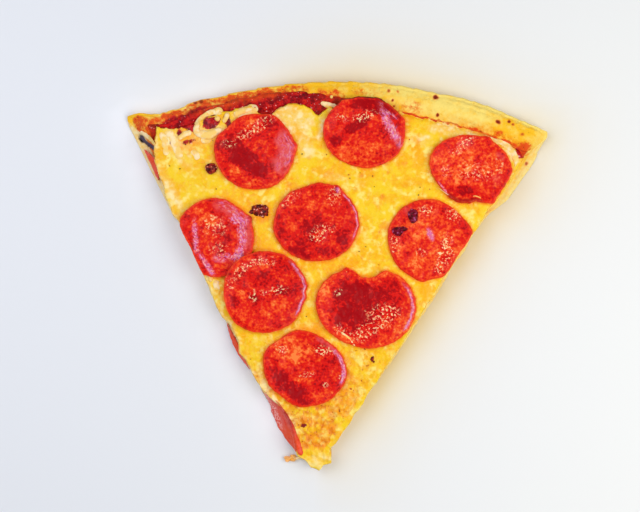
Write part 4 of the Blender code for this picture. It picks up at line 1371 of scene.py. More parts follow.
LOOKS = {
    "pepperoni_1": Look(
        deep=(
            Patch(-5.7, -2.2, 9.0, 4.5, -36.0),
            Patch(2.0, -8.0, 5.0, 3.0, 20.0, 0.8),
            Patch(6.5, 13.0, 4.5, 2.0, -20.0, 0.7),
            Patch(-10.0, 5.0, 3.0, 4.0, 0.0, 0.5),
        ),
        orange=(
            Patch(0.3, 1.4, 1.5, 1.5),
            Patch(-8.5, -7.5, 2.4, 1.8),
            Patch(3.0, -14.0, 8.0, 2.0, 0.0, 0.5),
            Patch(-3.0, 12.0, 5.0, 3.0, 30.0, 0.4),
        ),
        oil=(Patch(0.6, 10.7, 8.0, 2.2, 30.0), Patch(-11.0, 3.5, 3.0, 1.5, 0.0, 0.7)),
        pink=(Arc(60.0, 124.0, 4.5, 3.6, 0.9),),
        sheen=(Arc(68.0, 106.0, 2.4, 0.9, 0.6), Arc(66.0, 120.0, 5.0, 1.6, 0.3)),
        corners=((82.0, 1.0, 7.0), (30.0, 1.2, 12.0), (312.0, -1.2, 14.0)),
    ),
    "pepperoni_2": Look(
        deep=(
            Patch(-3.0, 3.6, 6.5, 2.2, 32.0),
            Patch(-11.8, -4.0, 2.6, 2.4, 0.0, 0.9),
            Patch(4.6, 11.8, 10.0, 3.5, -8.0, 0.9),
            Patch(13.8, 7.2, 3.0, 5.0, -20.0, 0.8),
        ),
        orange=(Patch(0.0, -8.5, 11.0, 5.0, 0.0, 0.7),),
        oil=(Patch(0.3, 7.1, 4.5, 1.8, 18.0), Patch(-9.5, 6.2, 2.5, 1.5, -20.0, 0.8)),
        pink=(Patch(11.6, 2.2, 9.0, 1.6, -62.0, 0.9),),
        sheen=(Patch(11.4, 2.4, 8.5, 1.7, -62.0, 1.1), Patch(11.0, 8.0, 3.5, 0.8, -32.0, 0.7)),
        char=(Arc(-38.0, 4.0, 0.1, 0.3, 0.75), Arc(8.0, 26.0, 0.1, 0.4, 0.85)),
        corners=(
            (72.0, 0.9, 8.0),
            (24.0, 0.8, 6.0),
            (-33.0, 1.2, 8.0),
            (45.0, 0.6, 16.0),
            (215.0, -0.9, 32.0),
        ),
        cup=1.2,
    ),
    "pepperoni_3": Look(
        deep=(Patch(-3.3, -9.2, 5.0, 2.0), Patch(15.0, -6.6, 2.0, 2.0, 0.0, 0.4)),
        orange=(Patch(0.0, 1.0, 15.0, 10.0, 0.0, 0.6), Patch(-4.6, -2.6, 5.0, 4.0, 0.0, 0.4)),
        oil=(
            Patch(-3.3, 10.5, 5.0, 2.0, 35.0, 0.9),
            Patch(2.0, -1.3, 7.0, 3.5, -5.0, 0.6),
            Patch(12.0, 1.0, 2.0, 3.0, 0.0, 0.5),
            Patch(-11.0, -1.3, 2.0, 2.0, 0.0, 0.7),
        ),
        pink=(Patch(12.5, 5.3, 1.8, 1.2, -40.0, 0.8), Patch(11.0, -4.6, 2.0, 2.0, 0.0, 0.4)),
        sheen=(Arc(222.0, 240.0, 0.6, 0.4, 0.9),),
        char=(Arc(168.0, 216.0, 1.0, 0.8, 0.45),),
        corners=((148.0, 1.2, 6.0), (172.0, -0.7, 6.0), (28.0, 1.2, 9.0), (205.0, 1.3, 26.0)),
    ),
    "pepperoni_4": Look(
        deep=(
            Patch(3.9, 3.2, 4.0, 4.0, 0.0, 0.5),
            Patch(1.5, -3.7, 4.0, 3.0, 0.0, 0.5),
            Patch(15.6, 8.8, 1.6, 1.3, -30.0, 1.4),
        ),
        orange=(Patch(-7.6, 11.8, 4.0, 3.0, 0.0, 0.6), Patch(-3.0, 3.8, 4.0, 6.0, 0.0, 0.5)),
        oil=(Patch(-1.0, 5.0, 5.0, 4.0, 0.0, 0.5), Patch(1.0, -5.0, 4.0, 3.0, 0.0, 0.5)),
        pink=(
            Arc(2.0, 102.0, 3.2, 2.4, 0.7),
            Patch(-9.0, 0.6, 1.3, 6.5, 4.0, 0.6),
            Patch(-3.8, -12.2, 1.3, 6.0, 33.0, 0.6),
            Patch(2.7, -8.9, 4.0, 2.0, 10.0, 0.5),
        ),
        sheen=(
            Arc(42.0, 135.0, 5.0, 1.7, 0.9),
            Arc(12.0, 60.0, 2.6, 1.6, 0.6),
            Patch(-9.0, 0.6, 1.0, 6.5, 4.0),
            Patch(-3.8, -12.2, 1.0, 6.0, 33.0),
            Patch(3.0, -8.6, 4.0, 1.6, 10.0, 0.7),
        ),
        char=(Patch(16.4, 9.0, 1.4, 1.2, -30.0, 0.7),),
        corners=((60.0, 1.3, 6.0),),
        cup=1.5,
    ),
    "pepperoni_5": Look(
        deep=(
            Patch(-1.0, -1.6, 4.0, 2.5, 0.0, 0.8),
            Patch(-8.0, -13.0, 5.0, 2.5, -25.0, 0.8),
            Patch(-5.0, -9.0, 4.0, 3.0, 0.0, 0.5),
            Patch(11.0, -6.5, 3.0, 4.0, 0.0, 0.8),
            Patch(-15.5, -2.5, 1.8, 4.0, 0.0, 0.7),
            Patch(5.0, -12.8, 6.0, 2.0, 0.0, 0.5),
        ),
        orange=(
            Patch(0.0, 9.6, 9.0, 4.0, 0.0, 0.5),
            Patch(-10.3, -9.4, 1.3, 1.2),
            Patch(-6.6, -10.8, 0.9, 0.8),
            Patch(-11.0, 1.0, 3.0, 5.0, 0.0, 0.3),
        ),
        oil=(
            Patch(1.8, -4.8, 5.0, 3.0, 20.0),
            Patch(0.0, -7.0, 2.5, 2.0),
            Patch(-11.5, 10.0, 5.0, 2.0, 40.0, 0.5),
            Patch(7.5, 11.3, 3.0, 4.0, 0.0, 0.5),
        ),
        pink=(Arc(48.0, 110.0, 1.0, 0.5, 0.8),),
        sheen=(Arc(52.0, 106.0, 0.9, 0.35), Patch(9.0, 13.4, 0.8, 0.9, 0.0, 1.2)),
        corners=((31.0, 1.5, 8.0), (-20.0, -1.0, 15.0), (257.0, 0.7, 12.0)),
        cup=0.8,
    ),
    "pepperoni_6": Look(
        deep=(Patch(-9.1, -6.3, 2.0, 1.5, 0.0, 0.6), Patch(2.0, -2.0, 5.0, 3.0, 0.0, 0.3)),
        orange=(Patch(0.0, 0.0, 15.0, 15.0, 0.0, 0.6), Patch(-4.0, -11.0, 6.0, 4.0, 0.0, 0.3)),
        oil=(
            Patch(7.0, -5.7, 3.0, 6.0, -10.0),
            Patch(4.7, -12.0, 2.5, 2.5),
            Patch(-1.0, 12.6, 3.0, 1.8),
            Patch(11.0, 11.0, 3.0, 3.0, 0.0, 0.8),
            Patch(-3.4, -5.7, 2.0, 1.5),
            Patch(-14.5, -1.7, 2.0, 4.0, 0.0, 0.7),
        ),
        pink=(Patch(0.9, 2.0, 1.4, 2.8, 20.0), Patch(-8.0, 11.5, 3.2, 1.6, -50.0, 0.5)),
        sheen=(Patch(0.9, 2.0, 1.1, 2.4, 20.0, 1.3),),
        corners=((189.0, 1.0, 8.0), (78.0, 1.4, 13.0)),
        cup=0.6,
    ),
    "pepperoni_7": Look(
        deep=(
            Patch(-2.0, 6.0, 5.0, 2.5, 0.0, 0.7),
            Patch(-5.5, -3.7, 3.0, 2.0, 0.0, 0.6),
            Patch(8.3, 0.3, 2.5, 2.0, 0.0, 0.7),
            Patch(-13.6, -4.9, 2.0, 3.0, 0.0, 0.5),
        ),
        orange=(
            Patch(6.5, -5.5, 4.0, 3.0, 0.0, 0.7),
            Patch(0.2, -10.0, 2.0, 1.5, 0.0, 0.8),
            Patch(-10.0, -2.0, 2.0, 2.0, 0.0, 0.6),
            Patch(1.4, 10.0, 4.0, 1.5, 0.0, 0.5),
            Patch(-9.0, -11.8, 6.0, 2.0, -35.0, 0.5),
        ),
        oil=(
            Arc(-58.0, 10.0, 4.2, 1.7),
            Patch(5.4, 0.3, 3.5, 1.8),
            Patch(-1.0, -0.9, 2.0, 1.0, 0.0, 0.8),
            Patch(-5.5, -2.6, 1.5, 2.5, 0.0, 0.8),
            Patch(-15.0, 3.2, 2.0, 3.0, 0.0, 0.5),
        ),
        pink=(Arc(46.0, 84.0, 1.3, 0.7), Arc(95.0, 122.0, 1.2, 0.6)),
        sheen=(Arc(48.0, 84.0, 1.3, 0.5, 1.1), Arc(96.0, 120.0, 1.2, 0.4, 1.1)),
        corners=((91.0, -0.9, 5.0), (205.0, 1.2, 40.0), (33.0, 0.8, 18.0), (112.0, -1.0, 13.0)),
    ),
    "pepperoni_8": Look(
        deep=(
            Patch(-7.0, 1.8, 9.0, 8.5, -40.0, 1.2),
            Patch(1.1, 6.4, 8.0, 4.0, -10.0),
            Patch(-10.3, -5.0, 3.0, 3.0, 0.0, 0.8),
            Patch(9.8, 9.9, 4.0, 3.0, -30.0, 0.5),
        ),
        orange=(
            Patch(-17.6, 6.0, 2.5, 5.0, 0.0, 0.9),
            Patch(13.8, -7.4, 5.0, 4.0, 45.0, 0.6),
            Arc(0.0, 360.0, 1.6, 1.6, 0.5),
        ),
        oil=(
            Patch(7.5, -1.6, 6.0, 3.0),
            Patch(2.3, -7.4, 7.0, 3.0, 20.0),
            Patch(-3.4, -12.0, 4.0, 2.0),
            Patch(-12.6, 7.0, 1.5, 1.5),
            Patch(-11.5, -9.0, 2.5, 2.0, 0.0, 0.8),
        ),
        pink=(Arc(62.0, 114.0, 1.6, 0.7, 0.9),),
        sheen=(Arc(66.0, 112.0, 1.6, 0.5, 1.1),),
        corners=(
            (2.0, -1.6, 13.0),
            (-12.0, -1.7, 7.0),
            (13.0, -1.2, 6.0),
            (-28.0, 1.5, 4.0),
            (24.0, 0.5, 6.0),
            (278.0, 1.7, 42.0),
            (48.0, 0.9, 20.0),
            (178.0, 1.2, 30.0),
        ),
        cup=1.1,
    ),
    "pepperoni_9": Look(
        deep=(
            Patch(-10.0, -3.8, 3.0, 5.0, 30.0, 0.9),
            Patch(-3.0, -9.2, 6.0, 3.0, -30.0),
            Patch(-0.6, -13.5, 4.0, 1.5, 0.0, 0.8),
            Patch(7.7, 0.3, 3.0, 2.5, 0.0, 0.5),
        ),
        orange=(Patch(-5.3, 8.6, 8.0, 5.0, -20.0, 1.6), Patch(3.0, -11.0, 3.0, 2.0, 0.0, 0.4)),
        oil=(
            Patch(8.3, 8.4, 3.5, 2.0),
            Patch(0.6, -2.0, 3.5, 1.0),
            Patch(8.9, -6.2, 1.2, 1.0),
            Patch(-10.0, 9.3, 2.5, 1.5, -30.0),
            Patch(15.4, -3.3, 1.2, 1.2, 0.0, 0.8),
        ),
        pink=(Arc(28.0, 104.0, 1.4, 0.9, 0.9),),
        sheen=(Arc(62.0, 102.0, 1.4, 0.8, 1.2),),
        corners=((222.0, -1.8, 20.0), (296.0, 1.9, 18.0), (350.0, 1.4, 26.0), (100.0, 0.8, 16.0)),
        cup=0.9,
    ),
}


def spread(marks, x, y, from_edge, bearing, seed):
    """How strongly marks cover points of a slice, with ragged borders."""
    cover = np.zeros(x.shape)
    ragged = 0.3 * relief(x, y, 3.0, seed, 3)
    for mark in marks:
        far = mark.far(x, y) if isinstance(mark, Patch) else mark.far(from_edge, bearing)
        cover += mark.strength * soft_step(1.5, 0.55, far + ragged)
    return cover


# Rings of points up a slice's skin: under it, up its side and in over its face.
SLICE_RINGS = (6, 8, 54)
SLICE_SEGMENTS = 150
SLICE_THICKNESS = 2.0


def shape_slice(piece, disc):
    """Shapes a blank into one slice of sausage and paints its marks."""
    look = LOOKS[disc.name]
    seed = disc.seed
    points = read_points(piece)
    angle = np.arctan2(points[:, 0], points[:, 1])
    bearing = np.degrees(angle)
    face, down = blank_shares(points, *SLICE_RINGS)
    edge = disc.edge(bearing)
    radius = edge * face
    x = disc.middle[0] + radius * np.sin(angle)
    y = disc.middle[1] + radius * np.cos(angle)
    from_edge = edge - radius
    z = disc.scan.height(radius, bearing) - setting("seat_depth")
    z += look.cup * setting("cup_height") * (face**4 - 0.25)
    z -= 0.55 * soft_step(1.3, 0.0, from_edge) ** 2
    z += setting("sausage_grain") * relief(x, y, 2.6, seed + 1, 2)
    z += 0.3 * relief(x, y, 9.0, seed + 2, 2)
    z -= down * (SLICE_THICKNESS - 0.2 * np.cos(angle))
    write_points(piece, np.column_stack((x, y, z)))
    seen = bearing + FACING
    across = np.sin(np.radians(seen))
    along = np.cos(np.radians(seen))
    deep, orange, oil, pink, sheen, char = (
        spread(marks, radius * across, radius * along, from_edge, seen, seed + 3 + index)
        for index, marks in enumerate(look[:6])
    )
    # The pink marks and the sheen marks are painted reflections along the slices' edges.
    paint(piece, "zones", deep, pink, char)
    paint(piece, "more", orange, oil, soft_step(1.1, 0.2, from_edge))
    paint(piece, "sheen", sheen)
    flow = 0.025 + 0.017 * across, 0.025 + 0.017 * along
    paint(piece, "flow", *flow, from_edge * 3.2 * MM)


def build_pepperoni():
    """The baked slices of sausage, cupped, grainy and oily."""
    material = pepperoni_finish()
    skin = blank("slice_blank", SLICE_SEGMENTS, sum(SLICE_RINGS))
    for disc in DISCS:
        piece = copy_of(skin, disc.name + "_slice")
        shape_slice(piece, disc)
        finish_mesh(piece)
        settle(piece, "pepperoni", material, disc.name)
    bpy.data.objects.remove(skin)


def top_of(x, y):
    """The height of the layers' upper surface."""
    radius, bearing = polar(x, y)
    height = DOUGH.height(radius, bearing)
    for scan in (SAUCE, CHEESE):
        first, last = scan.sides(radius)
        held = (bearing > first) & (bearing < last) & (radius < scan.reach(bearing))
        height = np.where(held, scan.height(radius, bearing), height)
    return height


def top_under(x, y):
    """The height of the layers' upper surface under the middle of some points."""
    return top_of(np.array([x.mean()]), np.array([y.mean()]))[0]


def bedded(x, y):
    """The layers' upper surface with its steps softened, for what lies or melts over them."""
    around = ((0.0, 0.0), (0.9, 0.0), (-0.9, 0.0), (0.0, 0.9), (0.0, -0.9))
    return sum(top_of(x + side, y + end) for side, end in around) / len(around)


# How far a piece that rests on the floor stays above it.
FLOOR_GAP = 0.02


class Strand(NamedTuple):
    """A strand: its path, half-widths along it, height, lift, and how far it strays sideways."""

    path: tuple
    wide: object
    high: float
    lift: float = 0.0
    stray: float = 1.0


def smooth_path(path, steps=80, margin=8):
    """A path as even steps along a softened line: how far along, the places and the directions."""
    run = np.append(0.0, np.cumsum(np.hypot(*np.diff(path, axis=0).T)))
    fine = np.linspace(0.0, run[-1], steps + 1)
    kernel = bell(np.linspace(-2.0, 2.0, 2 * margin + 1), 0.0, 1.0)
    line = []
    for values in path.T:
        straight = np.interp(fine, run, values)
        before = 2 * straight[0] - straight[margin:0:-1]
        after = 2 * straight[-1] - straight[-2 : -margin - 2 : -1]
        ends = np.concatenate((before, straight, after))
        line.append(np.convolve(ends, kernel / kernel.sum(), "valid"))
    slope = np.gradient(np.array(line), axis=1)
    return fine, line, slope / np.hypot(*slope)


def shape_strand(piece, strand, rings, seed):
    """Lays a blank along a strand's path as a soft, flattened roll."""
    points = read_points(piece)
    ring = points[:, 2]
    pole = np.hypot(points[:, 0], points[:, 1]) < 0.5
    share = np.clip(ring / (rings - 1.0), 0.0, 1.0)
    across = np.where(pole, 0.0, points[:, 0])
    up = np.where(pole, 0.0, points[:, 1])
    fine, line, slope = smooth_path(np.array(strand.path) + PIZZA_MIDDLE)
    along = share * fine[-1]
    x, y = (np.interp(along, fine, values) for values in line)
    way_x, way_y = (np.interp(along, fine, values) for values in slope)
    widths = np.atleast_1d(strand.wide)
    wide = np.interp(share, np.linspace(0.0, 1.0, len(widths)), widths)
    cap = np.clip(np.minimum(along, fine[-1] - along) / wide, 0.0, 1.0)
    girth = np.sqrt(np.clip(1.0 - (1.0 - cap) ** 2, 0.02, 1.0))
    girth = girth * (1.0 + 0.25 * strand.stray * relief(along, across, 3.0, seed, 2))
    shift = 0.3 * strand.stray * np.minimum(wide, 1.6) * relief(along, along * 0.0, 3.5, seed + 1)
    x = x + way_y * (across * wide * girth + shift)
    y = y - way_x * (across * wide * girth + shift)
    z = bedded(x, y) + strand.lift + (up * girth + 0.35) * strand.high
    z += 0.12 * relief(x, y, 1.6, seed + 2, 2)
    write_points(piece, np.column_stack((x, y, z)))


def rest_on_floor(piece):
    """Lifts whatever of a piece reaches below the floor, and returns its points' places."""
    x, y, z = read_points(piece).T
    write_points(piece, np.column_stack((x, y, np.maximum(z, FLOOR_GAP))))
    return x, y


def join(pieces, name):
    """Joins pieces into one and makes it the active object."""
    bpy.ops.object.select_all(action="DESELECT")
    for piece in pieces:
        piece.select_set(True)
    bpy.context.view_layer.objects.active = pieces[0]
    bpy.ops.object.join()
    pieces[0].name = name
    pieces[0].data.name = name
    return pieces[0]


STRAND_SEGMENTS = 18
STRAND_RINGS = 40
STRANDS = (
    Strand(
        (
            (-46.6, 160.7),
            (-51.0, 160.4),
            (-55.3, 157.8),
            (-58.0, 154.4),
            (-57.4, 151.0),
            (-53.8, 149.4),
            (-49.5, 150.6),
            (-46.4, 153.0),
        ),
        (1.6, 1.4, 1.1, 1.2, 1.4, 1.7, 1.8, 1.2),
        0.8,
        0.2,
    ),
    Strand(((-44.6, 160.0), (-44.9, 157.6), (-46.2, 155.6)), 1.0, 0.7, 0.2),
    Strand(((-49.8, 157.6), (-47.8, 156.4)), 1.1, 0.7, 0.1),
    Strand(((-50.4, 160.8), (-49.0, 161.0)), (1.3, 1.3), 1.2, 0.3),
    Strand(((-59.8, 151.0), (-65.3, 147.4)), (1.3, 1.3, 1.0), 0.7, 0.1),
    Strand(((-41.6, 158.8), (-38.2, 161.2), (-34.8, 162.6), (-31.6, 161.8)), 1.5, 0.6, 0.0),
    Strand(((-4.9, 166.9), (-1.5, 166.2), (2.0, 165.6)), (0.8, 1.3, 1.0), 0.6, 0.3),
    Strand(((-0.9, 170.2), (0.1, 169.2)), (0.7, 0.9), 0.7, 0.4),
    Strand(((-70.6, 151.0), (-67.6, 147.8), (-65.6, 143.1), (-63.3, 138.8)), 1.6, 0.4, -0.1),
    Strand(((-72.6, 149.6), (-70.8, 145.0), (-69.4, 140.0)), 1.4, 0.35, -0.1),
    Strand(((-55.4, 147.3), (-51.0, 147.8)), 1.3, 0.4, -0.1),
    Strand(((-58.6, 143.0), (-56.0, 139.0)), 1.4, 0.35, -0.1),
    Strand(((-40.0, 157.6), (-37.4, 159.4)), 1.0, 0.5, 0.0),
    Strand(((10.3, 68.8), (13.2, 66.6), (16.8, 63.4)), (0.5, 0.8, 0.6), 0.7, 1.4),
    Strand(((4.2, 89.6), (7.6, 91.8), (10.4, 94.3), (12.0, 95.8)), 0.5, 0.6, 1.2),
    Strand(
        ((-82.4, 149.8), (-80.0, 148.6), (-77.4, 146.6), (-75.2, 144.0)),
        (0.5, 0.9, 0.9, 0.5),
        0.6,
        0.5,
    ),
    Strand(((-48.6, 90.0), (-47.6, 86.6)), 1.3, 0.7, -0.2),
    Strand(((-45.4, 87.6), (-43.6, 83.4)), 1.5, 0.6, -0.3),
    Strand(
        (
            (48.0, 133.4),
            (51.7, 131.0),
            (55.1, 129.3),
            (58.8, 128.4),
            (61.4, 129.8),
            (63.9, 131.2),
            (66.0, 130.2),
            (68.7, 128.6),
        ),
        (0.1, 0.15, 0.2, 0.3, 0.3, 0.3, 0.35, 0.2),
        0.3,
        2.0,
    ),
    Strand(
        ((66.5, 157.2), (69.9, 156.0), (75.6, 154.3), (79.4, 150.9), (81.1, 146.6), (80.9, 143.4)),
        (0.5, 1.0, 1.3, 1.5, 1.1, 0.5),
        0.35,
        0.1,
    ),
)


def build_shreds():
    """Half-melted shreds of cheese over the sauce, and beads of cheese at the cut edge."""
    skin = blank("strand_blank", STRAND_SEGMENTS, STRAND_RINGS)
    strands = []
    for index, strand in enumerate(STRANDS):
        strands.append(copy_of(skin, "strand"))
        shape_strand(strands[-1], strand, STRAND_RINGS, 300 + 5 * index)
    bpy.data.objects.remove(skin)
    piece = join(strands, "cheese_shreds")
    x, y, _ = read_points(piece).T
    paint(piece, "zones", soft_step(0.1, 0.5, relief(x, y, 3.0, 401, 2)) * 0.35)
    finish_mesh(piece)
    settle(piece, "cheese", shreds_finish())


def lumpy_ball(x, y, wide, flat, seed, rough=0.35, base=None):
    """A rough lump that sits on the slice, or at a height of its own."""
    bpy.ops.object.select_all(action="DESELECT")
    bpy.ops.mesh.primitive_ico_sphere_add(subdivisions=5, radius=1.0)
    piece = bpy.context.object
    across, along, up = read_points(piece).T
    bump = 1.0 + rough * relief(across + 0.6 * up, along - 0.5 * up, 0.8, seed, 3)
    x = x + PIZZA_MIDDLE[0] + across * wide[0] * bump
    y = y + PIZZA_MIDDLE[1] + along * wide[1] * bump
    if base is None:
        base = top_under(x, y)
    write_points(piece, np.column_stack((x, y, base + flat * (0.3 + 0.9 * up * bump))))
    return piece


# Burnt lumps: place, half-sizes, height, seed and how rough they are.
BURNT_LUMPS = (
    (-50.1, 135.5, (2.5, 2.5), 2.0, 501, 0.1),
    (-28.6, 118.9, (3.0, 2.5), 1.6, 502, 0.25),
    (-26.2, 118.6, (1.8, 2.3), 1.3, 503, 0.3),
    (-31.2, 118.0, (1.4, 1.0), 0.8, 504),
    (-2.6, 27.4, (1.5, 0.9), 0.5, 505),
    (24.5, 57.9, (0.7, 1.1), 0.5, 506),
    (21.2, 62.4, (0.6, 0.8), 0.4, 507),
)
BLISTERS = (
    (37.8, 120.6, (2.0, 3.0)),
    (31.8, 113.8, (2.0, 2.0)),
    (34.0, 114.8, (1.6, 1.0)),
)


def build_burnt():
    """Burnt crumbs that lie on the cheese."""
    piece = join([lumpy_ball(*lump) for lump in BURNT_LUMPS], "burnt_bits")
    finish_mesh(piece)
    settle(piece, None, burnt_finish())


CRUMB_RINGS = 24
CRUMB_THREAD = Strand(((-6.4, 12.0), (-3.6, 12.4), (-0.6, 13.6)), (0.8, 0.5, 0.7), 0.5)


def build_crumb():
    """The crumb of baked cheese that hangs from the tip by a thread."""
    thread = blank("thread", STRAND_SEGMENTS, CRUMB_RINGS)
    shape_strand(thread, CRUMB_THREAD, CRUMB_RINGS, 531)
    x, y, z = read_points(thread).T
    write_points(thread, np.column_stack((x, y, z - bedded(x, y) + 0.6)))
    lumps = [
        lumpy_ball(-9.0, 11.4, (1.7, 1.0), 1.1, 532, rough=0.45, base=0.6),
        lumpy_ball(-7.0, 11.9, (1.6, 1.3), 1.1, 533, rough=0.45, base=0.6),
    ]
    piece = join([*lumps, thread], "tip_crumb")
    x, y = rest_on_floor(piece)
    browned = soft_step(-4.0, -7.0, x - PIZZA_MIDDLE[0] + 1.5 * relief(x, y, 2.0, 534, 2))
    paint(piece, "zones", browned)
    finish_mesh(piece)
    settle(piece, "cheese", bpy.data.materials["cheese_shreds"])


def build_blisters():
    """Dark blisters on the sixth slice of sausage."""
    disc = DISCS[5]
    blisters = []
    for index, (x, y, wide) in enumerate(BLISTERS):
        blister = lumpy_ball(x, y, wide, 0.8, 520 + index)
        points = read_points(blister)
        top = disc.scan.height(*polar(points[:, 0], points[:, 1], disc.middle))
        points[:, 2] += top - points[:, 2].mean() - 0.1
        write_points(blister, points)
        blisters.append(blister)
    piece = join(blisters, "blisters")
    finish_mesh(piece)
    settle(piece, "pepperoni", blister_finish())


# Flecks that lie in set places, with their sizes, and how many there are in all.
FLECKS = (
    (25.2, 56.8, 0.35),
    (16.1, 44.6, 0.45),
    (82.8, 146.3, 0.4),
    (82.0, 144.2, 0.4),
    (8.9, 75.5, 0.3),
    (10.6, 73.0, 0.35),
)
FLECK_COUNT = 34


def scattered_flecks(picker):
    """The set flecks, and more at random wherever the slice has no sausage."""
    spots = [*FLECKS]
    while len(spots) < FLECK_COUNT:
        radius = 30.0 + 148.0 * picker.random() ** 0.6
        bearing = picker.uniform(-27.5, 28.5)
        wide = picker.uniform(0.14, 0.26)
        x, y = place(radius, bearing)
        inside = DOUGH.reach(np.array([bearing]))[0] - radius > 2.0
        if inside and by_discs(np.array([x]), np.array([y]))[0] > 1.0:
            spots.append((x - PIZZA_MIDDLE[0], y - PIZZA_MIDDLE[1], wide))
    return spots


def build_flecks():
    """Flecks of dried herb and pepper, scattered over the slice."""
    picker = np.random.default_rng(9)
    spots = scattered_flecks(picker)
    bpy.ops.object.select_all(action="DESELECT")
    bpy.ops.mesh.primitive_ico_sphere_add(subdivisions=2, radius=1.0)
    piece = bpy.context.object
    bpy.ops.object.mode_set(mode="EDIT")
    for _ in spots[1:]:
        bpy.ops.mesh.primitive_ico_sphere_add(subdivisions=2, radius=1.0)
    bpy.ops.object.mode_set(mode="OBJECT")
    points = read_points(piece).reshape(len(spots), -1, 3)
    for fleck, (x, y, wide) in zip(points, spots):
        turn = picker.uniform(0.0, math.pi)
        across = fleck[:, 0] * wide * picker.uniform(1.0, 1.8)
        along = fleck[:, 1] * wide
        x = x + PIZZA_MIDDLE[0] + across * math.cos(turn) - along * math.sin(turn)
        y = y + PIZZA_MIDDLE[1] + across * math.sin(turn) + along * math.cos(turn)
        fleck[:] = np.column_stack((x, y, top_under(x, y) + 0.25 + fleck[:, 2] * 0.35))
    write_points(piece, points.reshape(-1, 3))
    piece.name = "herb_flecks"
    finish_mesh(piece)
    settle(piece, None, fleck_finish())


# How finely the offcuts' solids are evened out, and how far the corner one lies from its own.
OFFCUT_VOXEL = 0.28
OFFCUT_SMOOTHING = 4
CORNER_SHIFT = (-1.5, -0.4, 0.0)

# The offcut by the tip, which is shaped afresh.
OFFCUT_SEGMENTS = 40
OFFCUT_RINGS = 60
TIP_OFFCUT = Strand(
    (
        (-21.0, 40.2),
        (-18.9, 38.2),
        (-15.4, 33.6),
        (-13.0, 29.4),
        (-10.3, 25.4),
        (-7.9, 21.2),
        (-4.7, 17.0),
        (-3.2, 14.4),
    ),
    (0.8, 1.7, 2.9, 3.4, 3.4, 3.1, 2.3, 1.0),
    1.1,
    -0.4,
    0.35,
)


def dressed_offcut(node, name, seed, orange):
    """An offcut's solid with softened corners and fine relief, more or less orange."""
    piece = copy_of(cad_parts[node], name)
    write_points(piece, read_points(piece) / MM)
    bpy.ops.object.mode_set(mode="EDIT")
    bpy.ops.mesh.select_all(action="SELECT")
    bpy.ops.mesh.remove_doubles(threshold=0.01)
    bpy.ops.object.mode_set(mode="OBJECT")
    remesh = piece.modifiers.new("even_faces", "REMESH")
    remesh.mode = "VOXEL"
    remesh.voxel_size = OFFCUT_VOXEL
    bpy.ops.object.modifier_apply(modifier=remesh.name)
    smooth = piece.modifiers.new("soft_corners", "SMOOTH")
    smooth.iterations = OFFCUT_SMOOTHING
    bpy.ops.object.modifier_apply(modifier=smooth.name)
    points = read_points(piece)
    x, y, z = points.T
    outwards = np.empty(len(points) * 3)
    piece.data.vertices.foreach_get("normal", outwards)
    grain = 0.15 * relief(x + 0.5 * z, y - 0.5 * z, 2.2, seed, 3)
    points += outwards.reshape(-1, 3) * grain[:, None]
    write_points(piece, points)
    paint(piece, "zones", orange + 0.3 * relief(x, y, 4.0, seed + 1, 2))
    finish_mesh(piece)
    settle(piece, "pepperoni", bpy.data.materials["cut_pepperoni"], node)
    return piece


def build_offcuts():
    """The slivers of sausage left along the cut edge by the knife."""
    material = offcut_finish()
    dressed_offcut("pepperoni_offcut_side", "side_offcut", 611, 0.75)
    corner = dressed_offcut("pepperoni_offcut_corner", "corner_offcut", 621, 0.45)
    write_points(corner, read_points(corner) + np.array(CORNER_SHIFT) * MM)

    piece = blank("tip_offcut", OFFCUT_SEGMENTS, OFFCUT_RINGS)
    shape_strand(piece, TIP_OFFCUT, OFFCUT_RINGS, 601)
    x, y = rest_on_floor(piece)
    from_line = (x - PIZZA_MIDDLE[0] - 1.0) * 0.875 + (y - PIZZA_MIDDLE[1] - 17.0) * 0.484
    ragged = relief(x, y, 3.0, 602, 2)
    low = soft_step(30.0, 22.0, y - PIZZA_MIDDLE[1] + 2.0 * ragged)
    inner = soft_step(-4.6, -3.4, from_line + 0.8 * ragged) * (1.0 - 0.6 * low)
    # Where glints are painted on the offcut.
    glinting = soft_step(-6.4, -7.6, from_line + 0.6 * ragged) * (1.0 - low)
    paint(piece, "zones", 0.15 + 0.6 * low, glinting, inner)
    finish_mesh(piece)
    settle(piece, "pepperoni", material, "pepperoni_offcut_tip")


# Stage ---------------------------------------------------------------------------------------


# The board's linear colours: plain, painted cool shade on its left side, and painted warm bounce
# light or white light by the slice.
BOARD_PLAIN = (0.82, 0.825, 0.81, 1.0)
BOARD_COOL_SHADE = (0.775, 0.79, 0.815, 1.0)
BOARD_WARM_BOUNCE = (0.80, 0.63, 0.28, 1.0)
BOARD_LIT = (0.93, 0.94, 0.98, 1.0)

# The board's cells each way, its side and how far it lies below the slice, in metres.
BOARD_CELLS = 150
BOARD_SIDE = 4.0
BOARD_DROP = 0.0002

# How strongly warm bounce light is painted on the board beside the slice, by the bearing from the
# slice's middle.
WARM_BOUNCE_SIDES = (
    (-180.0, -140.0, -60.0, -24.0, 5.0, 25.0, 42.0, 62.0, 75.0, 112.0, 158.0, 176.0, 180.0),
    (0.05, 0.0, 0.0, 0.4, 0.8, 0.65, 0.45, 0.5, 0.8, 0.85, 0.95, 0.3, 0.05),
)

# The room's brightness towards its walls and its ceiling, and the heights it fades between.
WALL_BRIGHTNESS = 0.41
CEILING_BRIGHTNESS = 0.04
ROOM_FADE = (0.72, 0.97)
ROOM_TINT = (0.92, 0.97, 1.0, 1.0)

# The camera's place in metres and its lens in millimetres.
CAMERA_PLACE = (-0.0038, 0.0078, 0.545)
CAMERA_LENS = 70.0


